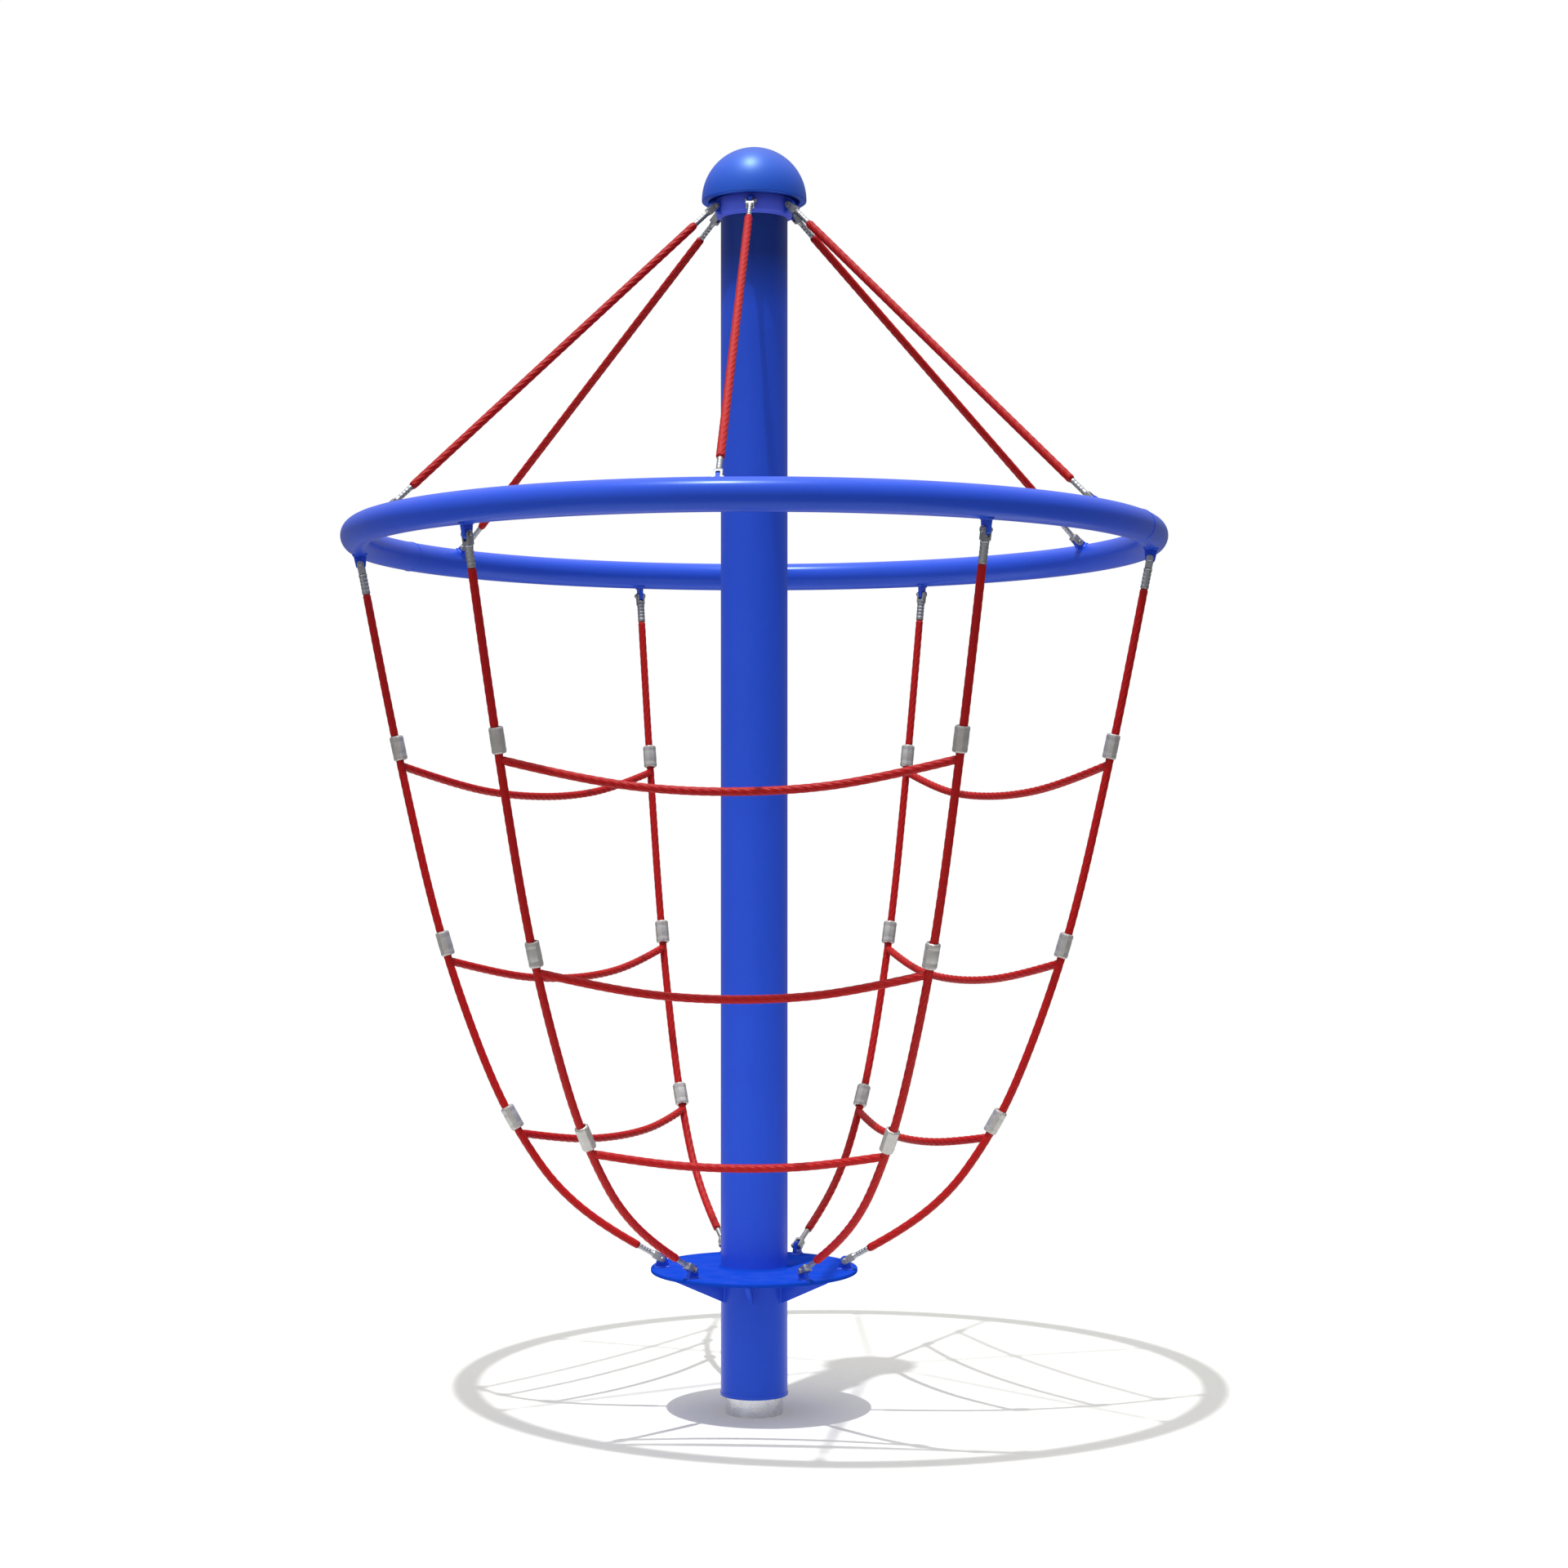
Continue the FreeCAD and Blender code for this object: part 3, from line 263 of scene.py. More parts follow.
class Board:
    """The nodes of one material or of the air."""

    def __init__(self, holder):
        holder.use_nodes = True
        self.holder = holder
        self.tree = holder.node_tree
        self.tree.nodes.clear()

    def node(self, kind, settings=None, inputs=None, output=0):
        """Adds a node, makes its settings, fills its sockets and gives one of its outputs."""
        made = self.tree.nodes.new(kind)
        for name, value in (settings or {}).items():
            setattr(made, name, value)
        for name, value in (inputs or {}).items():
            if isinstance(value, Reading):
                self.tree.links.new(value.socket, made.inputs[name])
            else:
                made.inputs[name].default_value = value
        return None if output is None else Reading(self, made.outputs[output])

    def place(self):
        """Object coordinates."""
        return self.node("ShaderNodeTexCoord", output="Object")

    def noise(self, scale, detail=2.0, vector=None):
        """Soft noise from 0 to 1, with its scale in features a metre."""
        inputs = {"Vector": vector or self.place(), "Scale": scale, "Detail": detail}
        return self.node("ShaderNodeTexNoise", None, inputs)

    def part(self, vector, axis):
        """One number of a vector."""
        return self.node("ShaderNodeSeparateXYZ", None, {0: vector}, output=axis)

    def stretched(self, x, y, z):
        """Object coordinates with each axis scaled."""
        inputs = {"Vector": self.place(), "Scale": (x, y, z)}
        return self.node("ShaderNodeMapping", None, inputs)

    def ramp(self, value, low, high):
        """0 below one level, 1 above another."""
        found = self.node("ShaderNodeValToRGB", None, {"Fac": value})
        first, last = found.socket.node.color_ramp.elements
        first.position, last.position = low, high
        return found

    def mixed(self, share, first, second):
        """A colour between two."""
        settings = {"data_type": "RGBA"}
        return self.node("ShaderNodeMix", settings, {0: share, 6: first, 7: second}, output=2)

    def upward(self):
        """How much a surface faces up, from -1 to 1."""
        return self.part(self.node("ShaderNodeNewGeometry", output="Normal"), "Z")

    def bump(self, height, distance, strength=1.0, under=None):
        """A normal from a height in metres."""
        inputs = {"Height": height, "Distance": distance, "Strength": strength}
        if under:
            inputs["Normal"] = under
        return self.node("ShaderNodeBump", None, inputs)

    def surface(self, **inputs):
        """Closes the board with one Principled shader."""
        named = {name.replace("_", " "): value for name, value in inputs.items()}
        shader = self.node("ShaderNodeBsdfPrincipled", None, named)
        self.node("ShaderNodeOutputMaterial", None, {"Surface": shader}, output=None)
        return self.holder


def solid(colour, level=1.0):
    """A colour with its alpha, brightened or darkened."""
    return tuple(min(1.0, part * level) for part in colour) + (1.0,)


def painted(name, colour, roughness, coat, peel, specular=0.25, top_shade=0.0, shade=None):
    """Powder coat: orange peel, slight cloudiness and a breath of dust on what faces up.

    A painted top shade darkens what faces up; a painted shadow darkens upwards between two heights.
    """
    board = Board(bpy.data.materials.new(name))
    cloud = board.noise(3.1, 4.0)
    base = board.mixed(cloud, solid(colour, 0.90), solid(colour, 1.10))
    speck = board.ramp(board.noise(900.0, 1.0), 0.60, 0.80)
    base = board.mixed(speck * 0.05, base, solid((0.35, 0.42, 0.75)))
    # Painted shade: what faces up is darkened, against the strong light from above
    base = board.mixed(board.ramp(board.upward(), 0.55, 1.0) * top_shade, base, solid(colour, 0.35))
    # Painted shadow: darker upwards between the shade's two heights
    if shade:
        low, high = shade
        rise = (board.part(board.place(), "Z") - low) * (1 / (high - low))
        base = board.mixed(board.ramp(rise, 0.0, 1.0) * 0.80, base, solid(colour, 0.20))
    dust = board.ramp(board.upward(), 0.75, 1.0) * board.ramp(board.noise(24.0, 5.0), 0.40, 0.75)
    base = board.mixed(dust * 0.025, base, solid((0.62, 0.62, 0.60)))
    rough = board.noise(11.0, 3.0) * 0.08 + (roughness - 0.04) + dust * 0.12
    skin = board.bump(board.noise(330.0, 2.0), 0.0004, peel)
    runs = board.bump(board.noise(26.0, 1.0), 0.0016, peel * 0.5, skin)
    return board.surface(
        Base_Color=base, Roughness=rough, Normal=runs, Coat_Weight=coat, Coat_Roughness=0.22,
        Specular_IOR_Level=specular, Specular_Tint=(0.40, 0.72, 1.0, 1.0),
    )


def galvanised(name, colour):
    """Hot-dipped zinc with its spangle."""
    board = Board(bpy.data.materials.new(name))
    inputs = {"Vector": board.place(), "Scale": 95.0}
    tone = board.part(board.node("ShaderNodeTexVoronoi", None, inputs, output="Color"), "X")
    cloud = board.noise(7.0, 4.0)
    base = board.mixed(tone * 0.45 + cloud * 0.3, solid(colour, 0.82), solid(colour, 1.12))
    grime = board.ramp(board.noise(40.0, 6.0), 0.55, 0.85)
    base = board.mixed(grime * 0.12, base, solid((0.30, 0.30, 0.29)))
    rough = tone * 0.08 + 0.20 + cloud * 0.08
    skin = board.bump(board.noise(160.0, 3.0), 0.0006, 0.25)
    return board.surface(Base_Color=base, Roughness=rough, Metallic=1.0, Normal=skin)


def machined(name, colour, roughness, lines):
    """Turned steel: fine rings round the axis, brightness drifting along them."""
    board = Board(bpy.data.materials.new(name))
    rings = board.noise(1.0, 2.0, board.stretched(lines * 0.02, lines * 0.02, lines))
    cloud = board.noise(20.0, 3.0)
    base = board.mixed(rings * 0.5 + cloud * 0.4, solid(colour, 0.80), solid(colour, 1.12))
    skin = board.bump(rings, 0.00012, 0.6)
    rough = rings * 0.12 + cloud * 0.08 + (roughness - 0.1)
    return board.surface(Base_Color=base, Roughness=rough, Metallic=1.0, Normal=skin)


def pressed_metal(name, colour, roughness, metallic=1.0, dented=0.25):
    """Tumbled or pressed metal: fine scratches, rubbed tone and small dents."""
    board = Board(bpy.data.materials.new(name))
    cloud = board.noise(46.0, 5.0)
    fine = board.noise(1.0, 3.0, board.stretched(900.0, 900.0, 160.0))
    dents = board.node(
        "ShaderNodeTexVoronoi", {"feature": "SMOOTH_F1"}, {"Vector": board.place(), "Scale": 210.0}
    )
    base = board.mixed(cloud * 0.7 + fine * 0.3, solid(colour, 0.74), solid(colour, 1.16))
    rough = cloud * 0.18 + fine * 0.08 + (roughness - 0.13)
    skin = board.bump(fine, 0.00010, 0.3)
    skin = board.bump(dents, 0.0004, dented, skin)
    return board.surface(Base_Color=base, Roughness=rough, Metallic=metallic, Normal=skin)


def rubber(name):
    """Moulded black rubber."""
    board = Board(bpy.data.materials.new(name))
    cloud = board.noise(30.0, 4.0)
    base = board.mixed(cloud, solid((0.012, 0.012, 0.013)), solid((0.035, 0.035, 0.036)))
    skin = board.bump(board.noise(700.0, 2.0), 0.0002, 0.4)
    return board.surface(Base_Color=base, Roughness=cloud * 0.2 + 0.55, Normal=skin)


def rope_fibre(name, colour):
    """Twisted polyamide yarn on the rope's own map: across counts strands, along is in metres."""
    board = Board(bpy.data.materials.new(name))
    chart = board.node("ShaderNodeUVMap", {"uv_map": "lay"})
    wave = (board.part(chart, "X") * 4.0 + board.part(chart, "Y") * 190.0) * (2 * math.pi)
    yarn = board.node("ShaderNodeMath", {"operation": "SINE"}, {0: wave}) * 0.5 + 0.5
    fibre = board.noise(1.0, 3.0, board.stretched(1400.0, 1400.0, 500.0))
    cloud = board.noise(9.0, 4.0)
    base = board.mixed(yarn * 0.7 + fibre * 0.3, solid(colour, 0.72), solid(colour, 1.12))
    worn = board.ramp(board.noise(60.0, 5.0), 0.55, 0.80)
    base = board.mixed(worn * 0.10, base, solid((0.80, 0.030, 0.025)))
    base = board.mixed(cloud * 0.14, base, solid(colour, 0.35))
    rough = fibre * 0.20 + 0.36
    skin = board.bump(yarn, 0.00030, 0.45)
    skin = board.bump(fibre, 0.0002, 0.3, skin)
    return board.surface(Base_Color=base, Roughness=rough, Normal=skin, Specular_IOR_Level=0.22)


def make_finishes():
    """One material for each finish."""
    colours = bpy.context.scene.climber_colours
    return {
        "mast_paint": painted("mast_powder_coat", colours.paint, 0.36, 0.10, 0.25),
        # Mast paint with the cap's shadow painted on the top of the mast
        "shaded_mast_paint": painted(
            "mast_powder_coat_shaded", colours.paint, 0.36, 0.10, 0.25, shade=CAP_SHADE
        ),
        "hoop_paint": painted("hoop_powder_coat", colours.paint, 0.32, 0.15, 0.20),
        # The cap's top is darkened by a painted top shade
        "cap_paint": painted("cap_gloss_coat", colours.cap, 0.42, 0.0, 0.10, 0.90, top_shade=0.45),
        # The collar's brightened paint is painted light
        "collar_painted_light": painted("collar_coat_painted_light", colours.collar, 0.40, 0.05, 0.25),
        # The disc's darkened paint is painted shade
        "disc_painted_shade": painted("disc_coat_painted_shade", colours.disc, 0.55, 0.0, 0.25, 0.0),
        "galvanised": galvanised("zinc_coat", colours.zinc),
        "machined_steel": machined("turned_steel", (0.50, 0.50, 0.51), 0.34, 2400.0),
        "bearing_steel": machined("ground_bearing_steel", (0.62, 0.62, 0.64), 0.20, 5200.0),
        "cage_brass": machined("cage_brass_sheet", (0.62, 0.43, 0.16), 0.34, 1500.0),
        "seal_rubber": rubber("black_rubber"),
        "rope_fibre": rope_fibre("rope_polyamide", colours.rope),
        "sleeve_aluminium": pressed_metal("pressed_aluminium", colours.aluminium, 0.36, 0.55, 0.05),
        "terminal_steel": pressed_metal("stainless_fitting", (0.40, 0.41, 0.43), 0.42, 1.0, 0.10),
    }


finishes = {}


# ---- modelling


def put_down():
    """Leaves edit mode and selects nothing."""
    if bpy.context.mode != "OBJECT":
        bpy.ops.object.mode_set(mode="OBJECT")
    bpy.ops.object.select_all(action="DESELECT")


def take(piece):
    """Makes one piece the only one selected, and active."""
    put_down()
    piece.select_set(True)
    bpy.context.view_layer.objects.active = piece


def named(name):
    """The active piece, with its name."""
    piece = bpy.context.object
    piece.name = name
    piece.data.name = name
    return piece


def work_on(piece):
    """Opens a piece for shaping, with all of it selected."""
    take(piece)
    bpy.ops.object.mode_set(mode="EDIT")
    bpy.ops.mesh.select_mode(type="VERT")
    bpy.ops.mesh.select_all(action="SELECT")


def settle():
    """Puts a piece's place into its mesh."""
    bpy.ops.object.transform_apply(location=True, rotation=True, scale=True)


def shift(x, y, z):
    """Moves what is selected in the open piece."""
    bpy.ops.transform.translate(value=(x, y, z))


def swell(x, y, z, height=0.0):
    """Scales what is selected in the open piece about a point on the Z axis."""
    bpy.ops.transform.resize(value=(x, y, z), center_override=(0, 0, height))


def draw_out(x, y, z):
    """Extrudes what is selected in the open piece."""
    bpy.ops.mesh.extrude_region_move(TRANSFORM_OT_translate={"value": (x, y, z)})


def choose(test, kind="VERT"):
    """Selects the elements of the open piece whose centre and normal pass a test."""
    bpy.ops.mesh.select_mode(type=kind)
    bpy.ops.mesh.select_all(action="DESELECT")
    mesh = bpy.context.object.data
    shape = bmesh.from_edit_mesh(mesh)
    parts = {"VERT": shape.verts, "FACE": shape.faces}[kind]
    for part in parts:
        centre = part.co if kind == "VERT" else part.calc_center_median()
        if test(centre, part.normal):
            part.select_set(True)
    shape.select_flush_mode()
    bmesh.update_edit_mesh(mesh)


def face_out():
    """Turns every face of the open piece outwards and closes it."""
    bpy.ops.mesh.select_all(action="SELECT")
    bpy.ops.mesh.normals_make_consistent(inside=False)
    bpy.ops.object.mode_set(mode="OBJECT")


def flat_circle(name, radius):
    """A circle in the XZ plane, opened for shaping."""
    put_down()
    bpy.ops.mesh.primitive_circle_add(vertices=32, radius=radius, rotation=QUARTER)
    piece = named(name)
    settle()
    work_on(piece)
    return piece


def turned_piece(name, stations, sides, closing="solid"):
    """Turns a piece on the Z axis, one ring of vertices for each (radius, height) in order.

    A solid is closed at its two ends, and a loop has its last ring joined to its first.
    """
    put_down()
    radius, height = stations[0]
    bpy.ops.mesh.primitive_circle_add(vertices=sides, radius=radius)
    piece = named(name)
    work_on(piece)
    shift(0, 0, height)
    if closing == "solid":
        bpy.ops.mesh.edge_face_add()
    for next_radius, next_height in stations[1:]:
        draw_out(0, 0, next_height - height)
        if next_radius == 0:
            bpy.ops.mesh.merge(type="CENTER")
            break
        share = next_radius / radius
        swell(share, share, 1, next_height)
        radius, height = next_radius, next_height
    if closing == "loop":
        bpy.ops.mesh.select_all(action="DESELECT")
        bpy.ops.mesh.select_mode(type="EDGE")
        bpy.ops.mesh.select_non_manifold(
            use_wire=False, use_multi_face=False, use_non_contiguous=False, use_verts=False
        )
        bpy.ops.mesh.bridge_edge_loops()
    face_out()
    return piece


def rolled(centre_radius, centre_height, roll, start, end, steps=4):
    """Stations along an arc of a profile, between two angles in degrees."""
    found = []
    for i in range(steps + 1):
        angle = math.radians(start + (end - start) * i / steps)
        radius = centre_radius + roll * math.cos(angle)
        found.append((radius, centre_height + roll * math.sin(angle)))
    return found


def modified(piece, kind, **settings):
    """Adds a modifier to a piece, with its settings, and applies it."""
    take(piece)
    bpy.ops.object.modifier_add(type=kind)
    step = piece.modifiers[-1]
    for name, value in settings.items():
        setattr(step, name, value)
    bpy.ops.object.modifier_apply(modifier=step.name)
    return piece


def bevelled(piece, width, segments, angle):
    """Rounds a piece's edges that are sharper than an angle in degrees."""
    limit = {"limit_method": "ANGLE", "angle_limit": math.radians(angle)}
    return modified(piece, "BEVEL", width=width, segments=segments, **limit)


def combined(piece, tool, operation):
    """Cuts one piece with another, or unites them, and drops the tool."""
    modified(piece, "BOOLEAN", operation=operation, solver="EXACT", object=tool)
    bpy.data.objects.remove(tool)
    return piece


def joined(pieces):
    """Makes one object of several, with each place in the mesh."""
    put_down()
    for piece in pieces:
        piece.select_set(True)
    bpy.context.view_layer.objects.active = pieces[0]
    settle()
    if len(pieces) > 1:
        bpy.ops.object.join()
    return bpy.context.object


def repeated(piece, places):
    """Copies one modelled piece to each place, and joins the copies."""
    copies = []
    for place in places:
        copy = piece.copy()
        copy.data = piece.data.copy()
        bpy.context.collection.objects.link(copy)
        copy.matrix_world = place
        copies.append(copy)
    bpy.data.objects.remove(piece)
    return joined(copies)


def finished(piece, name, slot, replaced, finish=None):
    """Names a piece, gives it its finish and lets it ride in place of its solids."""
    take(piece)
    named(name)
    settle()
    bpy.ops.object.shade_smooth_by_angle(angle=SMOOTH_ANGLE)
    piece.data.materials.clear()
    piece.data.materials.append(finishes[finish or slot])
    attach(piece, "carousel")
    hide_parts(*replaced)


def block(name, low, high):
    """A box between two corners."""
    put_down()
    low, high = Vector(low), Vector(high)
    bpy.ops.mesh.primitive_cube_add(size=1, location=(low + high) / 2, scale=high - low)
    piece = named(name)
    settle()
    return piece


def on_meridian(pin, turn, tilt=0.0):
    """The place of a piece drawn at the origin, on a meridian and tilted in its plane."""
    spin = Matrix.Rotation(turn, 4, "Z")
    return spin @ Matrix.Translation(pin) @ Matrix.Rotation(tilt, 4, "Y")


def around(pin, turns, tilt=0.0):
    """The same place on each meridian."""
    return [on_meridian(pin, turn, tilt) for turn in turns]


def tilt_along(direction):
    """The tilt that lays +X along a direction in the XZ plane."""
    return -math.atan2(direction.z, direction.x)


def tilt_towards(direction):
    """The tilt that points -Z along a direction in the XZ plane."""
    return math.atan2(-direction.x, -direction.z)


# ---- ropes


def spline_line(name, route):
    """The points of the smooth line that a rope's route controls."""
    curve = bpy.data.curves.new(name, "CURVE")
    curve.dimensions = "3D"
    curve.resolution_u = 16
    spline = curve.splines.new("NURBS")
    spline.points.add(len(route) - 1)
    for point, place in zip(spline.points, route):
        point.co = (*place, 1)
    spline.order_u = 3
    spline.use_endpoint_u = True
    holder = bpy.data.objects.new(name, curve)
    bpy.context.collection.objects.link(holder)
    mesh = bpy.data.meshes.new_from_object(holder)
    line = [vertex.co.copy() for vertex in mesh.vertices]
    bpy.data.objects.remove(holder)
    bpy.data.curves.remove(curve)
    bpy.data.meshes.remove(mesh)
    return line


def even_steps(line, step):
    """The line's points at even steps, as (point, direction, distance from the start)."""
    lengths = [0.0]
    for a, b in zip(line, line[1:]):
        lengths.append(lengths[-1] + (b - a).length)
    count = max(8, round(lengths[-1] / step))
    found = []
    leg = 0
    for i in range(count + 1):
        distance = lengths[-1] * i / count
        while leg < len(line) - 2 and lengths[leg + 1] < distance:
            leg += 1
        share = (distance - lengths[leg]) / (lengths[leg + 1] - lengths[leg])
        found.append((line[leg].lerp(line[leg + 1], share), distance))
    places = [place for place, distance in found]
    ahead = places[1:] + places[-1:]
    behind = places[:1] + places[:-1]
    return [
        (place, (b - a).normalized(), distance)
        for (place, distance), a, b in zip(found, behind, ahead)
    ]


def strand_outline(sizes):
    """The radius of a bundle of strands at each step round it."""
    reach = sizes.rope_diameter / 2 - sizes.strand_radius
    found = []
    for i in range(STRAND_FACETS):
        angle = (i / STRAND_FACETS - 0.5) * 2 * math.pi / sizes.strands
        side = reach * math.sin(angle)
        found.append(reach * math.cos(angle) + math.sqrt(sizes.strand_radius**2 - side**2))
    return found * sizes.strands


def lay_rope(name, route, end, node):
    sizes = bpy.context.scene.climber_sizes
    line = spline_line(name, route)
    stations = even_steps(line, sizes.rope_step)
    outline = strand_outline(sizes)
    count = len(outline)
    whole = stations[-1][2]
    across = stations[0][1].orthogonal().normalized()
    vertices = []
    for place, direction, distance in stations:
        across = (across - direction * across.dot(direction)).normalized()
        up = direction.cross(across)
        twist = 2 * math.pi * distance / sizes.rope_lay
        share, run = end
        away = min(distance, whole - distance, run)
        size = share + (1 - share) * math.sin(away / run * math.pi / 2)
        for i, radius in enumerate(outline):
            angle = 2 * math.pi * i / count + twist
            outwards = across * math.cos(angle) + up * math.sin(angle)
            vertices.append(place + outwards * radius * size)
    faces = []
    chart = []
    for ring in range(len(stations) - 1):
        near, far = stations[ring][2], stations[ring + 1][2]
        for i in range(count):
            j = (i + 1) % count
            a, b = ring * count, (ring + 1) * count
            faces.append((a + i, a + j, b + j, b + i))
            left, right = i * sizes.strands / count, (i + 1) * sizes.strands / count
            chart += [left, near, right, near, right, far, left, far]
    last = (len(stations) - 1) * count
    for ring, turn, middle in ((0, -1, stations[0][0]), (last, 1, stations[-1][0])):
        centre = len(vertices)
        vertices.append(middle)
        for i in range(count):
            pair = (ring + i, ring + (i + 1) % count)
            faces.append((*pair[::turn], centre))
            chart += [i * sizes.strands / count, 0.0] * 3
    mesh = bpy.data.meshes.new(name)
    mesh.from_pydata(vertices, [], faces)
    mesh.uv_layers.new(name="lay").data.foreach_set("uv", chart)
    mesh.polygons.foreach_set("use_smooth", [True] * len(faces))
    mesh.materials.append(finishes["rope_fibre"])
    piece = bpy.data.objects.new(name, mesh)
    bpy.context.collection.objects.link(piece)
    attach(piece, "carousel")
    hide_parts(node)


def meridian_route(points, turn):
    """A route drawn in the XZ plane, turned to its azimuth."""
    spin = Matrix.Rotation(turn, 3, "Z")
    return [spin @ Vector((distance, 0, height)) for distance, height in points]


class CLIMBER_OT_upright_ropes(bpy.types.Operator):
    """Lays the six ropes that hang from the hoop to the foot disc"""

    bl_idname = "climber.upright_ropes"
    bl_label = "Upright ropes"

    def execute(self, context):
        for i, turn in enumerate(UPRIGHT_TURNS):
            name, node = f"upright_strands_{i + 1}", f"upright_rope_{i + 1}"
            route = meridian_route(UPRIGHT_ROUTE, turn)
            lay_rope(name, route, BLUNT, node)
        return {"FINISHED"}


class CLIMBER_OT_suspension_ropes(bpy.types.Operator):
    """Lays the six tight ropes between the collar and the hoop"""

    bl_idname = "climber.suspension_ropes"
    bl_label = "Suspension ropes"

    def execute(self, context):
        start = COLLAR_PIN + FROM_COLLAR * SUSPENSION_TERMINAL
        end = HOOP_UPPER_PIN - FROM_COLLAR * SUSPENSION_TERMINAL
        run = FROM_COLLAR * 6 * context.scene.climber_sizes.rope_diameter
        route = [(point.x, point.z) for point in (start, start + run, end - run, end)]
        for i, turn in enumerate(SUSPENSION_TURNS):
            name, node = f"suspension_strands_{i + 1}", f"suspension_rope_{i + 1}"
            lay_rope(name, meridian_route(route, turn), BLUNT, node)
        return {"FINISHED"}


def rung_route(distance, height, sag, draw, turn):
    """A rung's route across one panel."""
    chord = distance * math.cos(PANEL_HALF)
    half_span = distance * math.sin(PANEL_HALF)
    spin = Matrix.Rotation(turn, 3, "Z")
    return [
        spin @ Vector((chord - draw * drop, half_span * along, height - sag * drop))
        for along, drop in RUNG_ROUTE
    ]


class CLIMBER_OT_rungs(bpy.types.Operator):
    """Lays the nine sagging rope rungs, three on each panel"""

    bl_idname = "climber.rungs"
    bl_label = "Rungs"

    def execute(self, context):
        for level, distance, height, sag, draw, length in RUNG_LEVELS:
            for panel, turn in zip(PANEL_NAMES, PANEL_TURNS):
                route = rung_route(distance, height, sag, draw, turn)
                name, node = f"rung_strands_{level}_{panel}", f"rung_{level}_{panel}"
                lay_rope(name, route, BURIED, node)
        return {"FINISHED"}


# ---- fittings


def lug_piece(name, reach, half_root):
    """A plate round a pin's hole, drawn down to a welded root that flares over its bead."""
    piece = flat_circle(name, LUG_END)
    choose(lambda centre, normal: centre.z < -1e-5)
    swell(1, 1, 0)
    shift(0, 0, -reach)
    swell(half_root / (LUG_END * math.cos(math.pi / 16)), 1, 1)
    bpy.ops.mesh.select_all(action="DESELECT")
    bpy.ops.mesh.primitive_circle_add(vertices=32, radius=PIN_HOLE, rotation=QUARTER)
    bpy.ops.mesh.select_all(action="SELECT")
    bpy.ops.mesh.select_mode(type="EDGE")
    bpy.ops.mesh.bridge_edge_loops()
    bpy.ops.mesh.select_all(action="SELECT")
    shift(0, -LUG_THICKNESS / 2, 0)
    draw_out(0, LUG_THICKNESS, 0)
    face_out()
    bevelled(piece, bpy.context.scene.climber_sizes.edge, 2, 50)
    work_on(piece)
    choose(lambda centre, normal: normal.z < -0.9 and centre.z < 0.0005 - reach, "FACE")
    wide, thick, depth = half_root, LUG_THICKNESS / 2, -reach
    for drop, more in LUG_BEAD:
        draw_out(0, 0, -drop)
        depth -= drop
        swell((wide + more) / wide, (thick + more) / thick, 1, depth)
        wide, thick = wide + more, thick + more
    face_out()
    return piece


class CLIMBER_OT_lugs(bpy.types.Operator):
    """Models the lugs on the collar, above and below the hoop and on the foot disc"""

    bl_idname = "climber.lugs"
    bl_label = "Lugs"

    def execute(self, context):
        collar = lug_piece("collar_lug", COLLAR_LUG_REACH, LUG_ROOT)
        tilt = tilt_towards(Vector((-1, 0, 0)))
        piece = repeated(collar, around(COLLAR_PIN, SUSPENSION_TURNS, tilt))
        finished(piece, "collar_lug_plates", "mast_paint", ["collar_lugs"])
        plates = []
        for pin, turns in ((HOOP_UPPER_PIN, SUSPENSION_TURNS), (HOOP_LOWER_PIN, UPRIGHT_TURNS)):
            inward = HOOP_CENTRE - pin
            lug = lug_piece("hoop_lug", inward.length - HOOP_TUBE - HOOP_LUG_ABOVE, LUG_ROOT)
            plates.append(repeated(lug, around(pin, turns, tilt_towards(inward))))
        finished(joined(plates), "hoop_lug_plates", "hoop_paint", ["hoop_lugs"])
        foot = lug_piece("foot_lug", FOOT_PIN.z - DISC_TOP - FOOT_LUG_ABOVE, FOOT_LUG_ROOT)
        piece = repeated(foot, around(FOOT_PIN, UPRIGHT_TURNS))
        finished(piece, "foot_lug_plates", "mast_paint", ["foot_lugs"])
        return {"FINISHED"}


